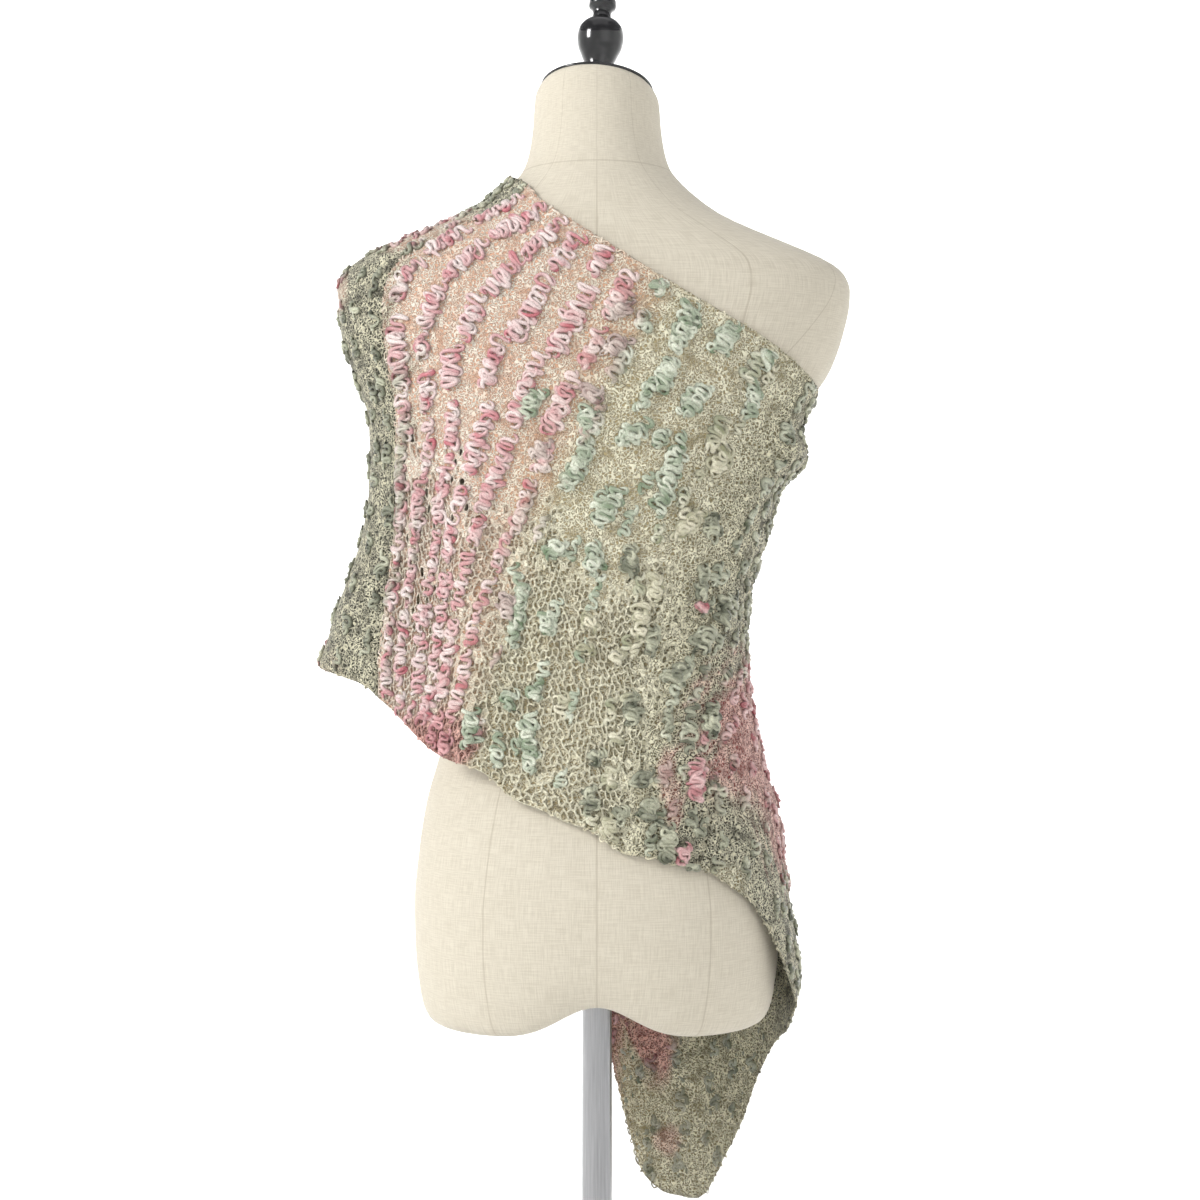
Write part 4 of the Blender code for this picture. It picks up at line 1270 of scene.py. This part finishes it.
# %% The clusters of the back
Cluster = namedtuple("Cluster", "dyes width path")
CLUSTERS = [
    Cluster(GREY_ROSE, 19, [(-27, 888), (-8, 874)]),
    Cluster(GREY_ROSE, 19, [(-24, 859), (-8, 844)]),
    Cluster(GREY_ROSE, 19, [(37, 780), (49, 763)]),
    Cluster(GREY_ROSE, 19, [(-2, 819), (7, 809)]),
    Cluster(GREY_ROSE, 19, [(69, 658), (73, 639)]),
    Cluster(MINT, 19, [(-49, 905), (-45, 894)]),
    Cluster(MINT, 18, [(-77, 888), (-75, 883), (-65, 861), (-57, 837), (-50, 821), (-50, 817)]),
    Cluster(MINT, 19, [(-110, 872), (-93, 848)]),
    Cluster(MINT, 19, [(-138, 853), (-131, 836)]),
    Cluster(MINT, 19, [(-126, 829), (-119, 797)]),
    Cluster(MINT, 19, [(-89, 822), (-84, 817), (-71, 803), (-68, 797)]),
    Cluster(MINT, 19, [(45, 819), (57, 796)]),
    Cluster(MINT, 17, [(4, 805), (8, 795), (8, 771), (17, 755), (23, 740), (23, 734)]),
    Cluster(MINT, 19, [(-39, 794), (-18, 775)]),
    Cluster(MINT, 18, [(-67, 784), (-64, 774), (-58, 755), (-52, 733), (-48, 720)]),
    Cluster(MINT, 19, [(-17, 741), (-15, 734), (-3, 718), (-2, 712)]),
    Cluster(MINT, 19, [(25, 701), (38, 687)]),
    Cluster(MINT, 19, [(1, 700), (4, 673)]),
    Cluster(MINT, 14, [(63, 682), (63, 676), (59, 660), (61, 642), (68, 622), (68, 614)]),
    Cluster(MINT, 17, [(37, 642), (41, 624)]),
    Cluster(MINT, 16, [(68, 581), (71, 564)]),
    Cluster(MINT, 17, [(46, 584), (49, 572)]),
    Cluster(MINT, 17, [(52, 562), (52, 552), (52, 526), (52, 514)]),
    Cluster(MINT, 17, [(98, 566), (101, 536)]),
    Cluster(MINT, 13, [(77, 547), (80, 518)]),
    Cluster(CREAM, 19, [(-105, 778), (-91, 751)]),
    Cluster(CREAM, 19, [(-82, 725), (-62, 701)]),
    Cluster(CREAM, 17, [(-17, 612), (-14, 602)]),
    Cluster(CREAM, 14, [(-48, 674), (-45, 652)]),
    Cluster(CREAM, 19, [(2, 643), (5, 628)]),
    Cluster(CREAM, 17, [(-13, 482), (-10, 464)]),
    Cluster(CREAM, 13, [(25, 579), (28, 558)]),
    Cluster(CREAM, 19, [(6, 619), (10, 610)]),
    Cluster(CREAM, 16, [(-36, 650), (-33, 622)]),
    Cluster(OLIVE, 17, [(-28, 698), (-25, 673)]),
    Cluster(OLIVE, 17, [(-92, 722), (-89, 701)]),
    Cluster(OLIVE, 14, [(-84, 682), (-81, 652)]),
    Cluster(OLIVE, 14, [(-45, 633), (-41, 609)]),
    Cluster(OLIVE, 19, [(-90, 632), (-80, 610)]),
    Cluster(OLIVE, 19, [(-72, 602), (-56, 586)]),
    Cluster(OLIVE, 19, [(-29, 578), (-26, 552)]),
    Cluster(OLIVE, 13, [(-76, 570), (-72, 530)]),
    Cluster(OLIVE, 17, [(-1, 534), (2, 521)]),
    Cluster(OLIVE, 16, [(2, 505), (5, 484)]),
    Cluster(OLIVE, 16, [(-19, 490), (-16, 476)]),
    Cluster(OLIVE, 19, [(-41, 518), (-32, 503)]),
    Cluster(OLIVE, 18, [(-43, 497), (-39, 477)]),
    Cluster(OLIVE, 18, [(-57, 476), (-54, 447)]),
    Cluster(OLIVE, 19, [(-74, 442), (-68, 429)]),
    Cluster(OLIVE, 17, [(-92, 571), (-89, 542)]),
    Cluster(OLIVE, 17, [(-102, 658), (-99, 630)]),
    Cluster(PINK, 17, [(-79, 526), (-76, 493)]),
    Cluster(PINK, 14, [(-69, 460), (-66, 445)]),
    Cluster(PINK, 17, [(-84, 650), (-81, 644)]),
]
TREE_SIZE = 220
RUN_LENGTH = (0.018, 0.050)
RUN_GAP = (0.001, 0.006)
LONG_RUN = 0.070
SHORTEST_REST = 0.006
CLUSTER_SHARE = 1.16
WIDE_CLUSTER = 13


def tree_of(points):
    """A tree of points that finds the nearest one."""
    tree = KDTree(len(points))
    for i, point in enumerate(points):
        tree.insert(point, i)
    tree.balance()
    return tree


def back_tree():
    """A tree of points of the back as seen from behind, and the shares of each."""
    shares = np.linspace(0, 1, TREE_SIZE + 1)
    across, down = (grid.ravel() for grid in np.meshgrid(shares, shares))
    return tree_of(hang("back", across, down) * (1, 0, 1)), across, down


def lay_clusters(rng):
    """The yarns of all clusters in the table."""
    tree, across, down = back_tree()
    lines = []
    for cluster in CLUSTERS:
        knots = np.array(cluster.path) / 1000
        steps = walked_along(knots)
        at = 0.0
        while at < steps[-1] - SHORTEST_REST:
            length = rng.uniform(*RUN_LENGTH) if steps[-1] > LONG_RUN else steps[-1]
            marks = np.linspace(at, min(at + length, steps[-1]), 9)
            near = [tree.find((np.interp(mark, steps, knots[:, 0]), 0.0, np.interp(mark, steps, knots[:, 1])))[1]
                    for mark in marks]
            path = [(across[i], down[i]) for i in near]
            half_width = CLUSTER_SHARE * cluster.width / 2000 - THICK_RADIUS
            lines.append(laid_yarn("back", path, half_width, rng, cluster.dyes))
            if cluster.width > WIDE_CLUSTER:
                lines.append(laid_yarn("back", path[1:-1], 0.75 * half_width, rng, cluster.dyes, SECOND_LIFT))
                lines.append(laid_yarn("back", path[2:], 0.55 * half_width, rng, cluster.dyes, 1.8 * SECOND_LIFT))
            at += length + rng.uniform(*RUN_GAP)
    return lines


# %% [markdown]
# Elsewhere the clusters follow the courses in rows, with gaps of their own, and smaller ones fill the back between
# those of the table. The wide rows narrow towards the hem and get a second yarn on top. The same yarn, laid
# narrower, binds the neckline, the hem and the join, and its loops stand a little past the edge, which gives the
# frayed outline.

# %% Rows of clusters and bound edges
Row = namedtuple("Row", "panel first last spacing half_width length gap inside")
SLUB_ROWS = [
    Row("back", 0.030, 0.372, 0.0176, 0.0084, (0.022, 0.070), (0.001, 0.009), False),
    Row("back", 0.440, 0.700, 0.0225, 0.0064, (0.014, 0.036), (0.012, 0.040), False),
    Row("back", 0.725, 0.840, 0.0200, 0.0046, (0.010, 0.026), (0.010, 0.036), False),
    Row("back", 0.850, 0.995, 0.0130, 0.0042, (0.010, 0.022), (0.006, 0.020), False),
    Row("front", 0.010, 0.200, 0.0150, 0.0046, (0.010, 0.024), (0.008, 0.022), False),
    Row("front", 0.220, 0.470, 0.0275, 0.0084, (0.022, 0.060), (0.002, 0.020), False),
    Row("front", 0.490, 0.990, 0.0175, 0.0048, (0.010, 0.024), (0.008, 0.022), False),
    Row("front", 0.430, 0.990, 0.0200, 0.0046, (0.010, 0.024), (0.006, 0.020), True),
]
WIDE_ROW = 0.0060
SECOND_FROM = 0.0050
HEM_NARROWING = 0.38
INSIDE_DROP = -0.0030
INSIDE_TOP = 0.290
EDGE_HALF_WIDTH = 0.0026
EDGE_RUN = 0.030
EDGE_SAMPLES = 300
EDGE_DROP = -0.0014
EDGE_RADIUS = 0.00080
EDGES = [("back", "across", 0.004), ("back", "across", 0.996), ("front", "across", 0.004),
         ("front", "across", 0.996), ("back", "down", 0.002), ("back", "down", 0.998)]


def lay_rows(panel, rng):
    """Clusters of one panel in rows along the courses."""
    lines = []
    for row in SLUB_ROWS:
        if row.panel != panel:
            continue
        right, below = slopes(panel, (row.first + row.last) / 2, 0.5)
        square = right - below * (right @ below) / (below @ below)
        courses = max(2, round((row.last - row.first) * float(np.linalg.norm(square)) / row.spacing))
        print(panel, "panel:", courses, "courses of clusters from share", row.first)
        for across in np.linspace(row.first, row.last, courses):
            down = rng.uniform(-0.03, 0.05)
            while down < 0.98:
                _, below = slopes(panel, across, np.clip(down, 0.01, 0.98))
                length = rng.uniform(*row.length) / float(np.linalg.norm(below))
                place = across + rng.uniform(-0.010, 0.010)
                marks = np.linspace(max(down, 0.004), min(down + length, 0.996), 5)
                half_width = row.half_width * rng.uniform(0.7, 1.2)
                if row.half_width > WIDE_ROW:
                    half_width *= 1 - HEM_NARROWING * rise_over(down, 0.38, 0.55)
                hidden = row.inside and read_chart(CHARTS[panel][1], place, marks[0]) > INSIDE_TOP
                path = [(place, mark) for mark in marks]
                made = None if hidden else laid_yarn(panel, path, half_width, rng, None, INSIDE_DROP * row.inside)
                if made:
                    lines.append(made)
                if made and row.half_width > WIDE_ROW and half_width > SECOND_FROM:
                    lines.append(laid_yarn(panel, path[1:], 0.7 * half_width, rng, None, SECOND_LIFT))
                down += length + rng.uniform(*row.gap) / float(np.linalg.norm(below))
    return lines


def edge_path(runs, fixed, marks):
    """Places (across, down) at marks along one edge of a panel."""
    still = np.full(len(marks), fixed)
    return np.column_stack([marks, still] if runs == "across" else [still, marks])


def bind_edges(panel, rng):
    """Narrow clusters end to end along the edges of one panel."""
    lines = []
    for name, runs, fixed in EDGES:
        if name != panel:
            continue
        share = np.linspace(0, 1, EDGE_SAMPLES)
        walked = walked_along(hang(panel, *edge_path(runs, fixed, share).T))
        at = 0.0
        while at < walked[-1] - EDGE_RUN / 2:
            marks = np.interp(np.linspace(at, min(at + EDGE_RUN, walked[-1]), 9), walked, share)
            path = edge_path(runs, fixed, marks)
            # The edge yarn runs between the thin yarn's colour and the painted shade of the hollow.
            lines.append(laid_yarn(panel, path, EDGE_HALF_WIDTH, rng, None, EDGE_DROP, ("thin", "hollow")))
            at += EDGE_RUN * rng.uniform(0.85, 1.1)
    return [line for line in lines if line]


# %% Tubes from lines
def tubes(name, lines, radius, finish):
    """One mesh of tubes along lines, coloured as the nearest point of the line, with painted shade on the side
    towards the cloth.
    """
    curve = bpy.data.curves.new(name, "CURVE")
    curve.dimensions = "3D"
    curve.bevel_depth = radius
    curve.bevel_resolution = 1
    curve.use_fill_caps = True
    for line in lines:
        spline = curve.splines.new("POLY")
        spline.points.add(len(line.points) - 1)
        spline.points.foreach_set("co", np.column_stack([line.points, np.ones(len(line.points))]).ravel())
        spline.points.foreach_set("radius", line.radii)
    guide = bpy.data.objects.new(name + "_lines", curve)
    bpy.context.scene.collection.objects.link(guide)
    mesh = bpy.data.meshes.new_from_object(guide.evaluated_get(bpy.context.evaluated_depsgraph_get()))
    bpy.data.objects.remove(guide)
    mesh.name = name
    mesh.materials.clear()
    mesh.materials.append(finish)
    mesh.shade_smooth()
    points = np.concatenate([line.points for line in lines])
    colours = np.concatenate([line.colours for line in lines])
    tree = tree_of(points)
    nearest = [tree.find(vert.co)[1] for vert in mesh.vertices]
    verts = np.zeros(len(mesh.vertices) * 3)
    mesh.vertices.foreach_get("co", verts)
    # Painted shade: each tube is darkened on its side towards the cloth.
    away = np.hypot(*verts.reshape(-1, 3)[:, :2].T) - np.hypot(*points[nearest, :2].T)
    shade = UNDERSIDE_SHADE + (1 - UNDERSIDE_SHADE) * rise_over(away, -0.6 * radius, 0.6 * radius)
    store_colours(mesh, "yarn_and_shade", colours[nearest] * shade[:, None])
    piece = bpy.data.objects.new(name, mesh)
    bpy.context.scene.collection.objects.link(piece)
    print(name, len(lines), "lines,", sum(len(face.vertices) - 2 for face in mesh.polygons), "triangles")
    return piece


# %% [markdown]
# The thick yarn is soft and has a shine, so its light side is nearly white. Its finish is a fine noise of fibres, a
# low roughness for a yarn, and a sheen.

# %% Finish and lay the slubs
FIBRES_PER_METRE = 1300


def thick_yarn():
    finish = Finish("slub_yarn", 0.34, sheen_weight=0.30, sheen_roughness=0.4)
    place = finish.add("ShaderNodeTexCoord").outputs["Object"]
    fibre = finish.noise(place, Scale=FIBRES_PER_METRE, Detail=2.0)
    yarn_and_shade = finish.add("ShaderNodeVertexColor", layer_name="yarn_and_shade").outputs["Color"]
    shade = finish.add("ShaderNodeMix", data_type="RGBA", blend_type="MULTIPLY")
    tint = [socket for socket in shade.inputs if socket.type == "RGBA"]
    shade.inputs[0].default_value = 1.0
    finish.join(yarn_and_shade, tint[0])
    tint[1].default_value = plain_colour(np.array([0.74, 0.69, 0.67]))
    dark = next(socket for socket in shade.outputs if socket.type == "RGBA")
    colour = mixed(finish, ramp(finish, fibre, 0.36, 0.56), dark, yarn_and_shade)
    finish.join(colour, finish.shader.inputs["Base Color"])
    finish.emboss(fibre, 0.4, 0.0003)
    return finish.material


slub_finish = thick_yarn()
rng = random.Random(7)
back_slubs = tubes("back_slubs", lay_clusters(rng) + lay_rows("back", rng), THICK_RADIUS, slub_finish)
front_slubs = tubes("front_slubs", lay_rows("front", random.Random(8)), THICK_RADIUS, slub_finish)
back_edges = tubes("back_edges", bind_edges("back", random.Random(9)), EDGE_RADIUS, slub_finish)
front_edges = tubes("front_edges", bind_edges("front", random.Random(10)), EDGE_RADIUS, slub_finish)
for piece, slot in ((back_slubs, "back_knit"), (front_slubs, "front_knit"),
                    (back_edges, "back_knit"), (front_edges, "front_knit")):
    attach(piece, "root")

# %% [markdown]
# ## The area of each panel
#
# Each panel is one sheet of knitting. Its flat size, the width and length of its net above, is the size it was
# knitted
# to: the width is counted across the courses and the length down them at its longest, and the area is smaller because
# both edges are cut on a slant. Here the area of each hung panel is only worked out again, and nothing is kept.

panel_area("back")
panel_area("front")
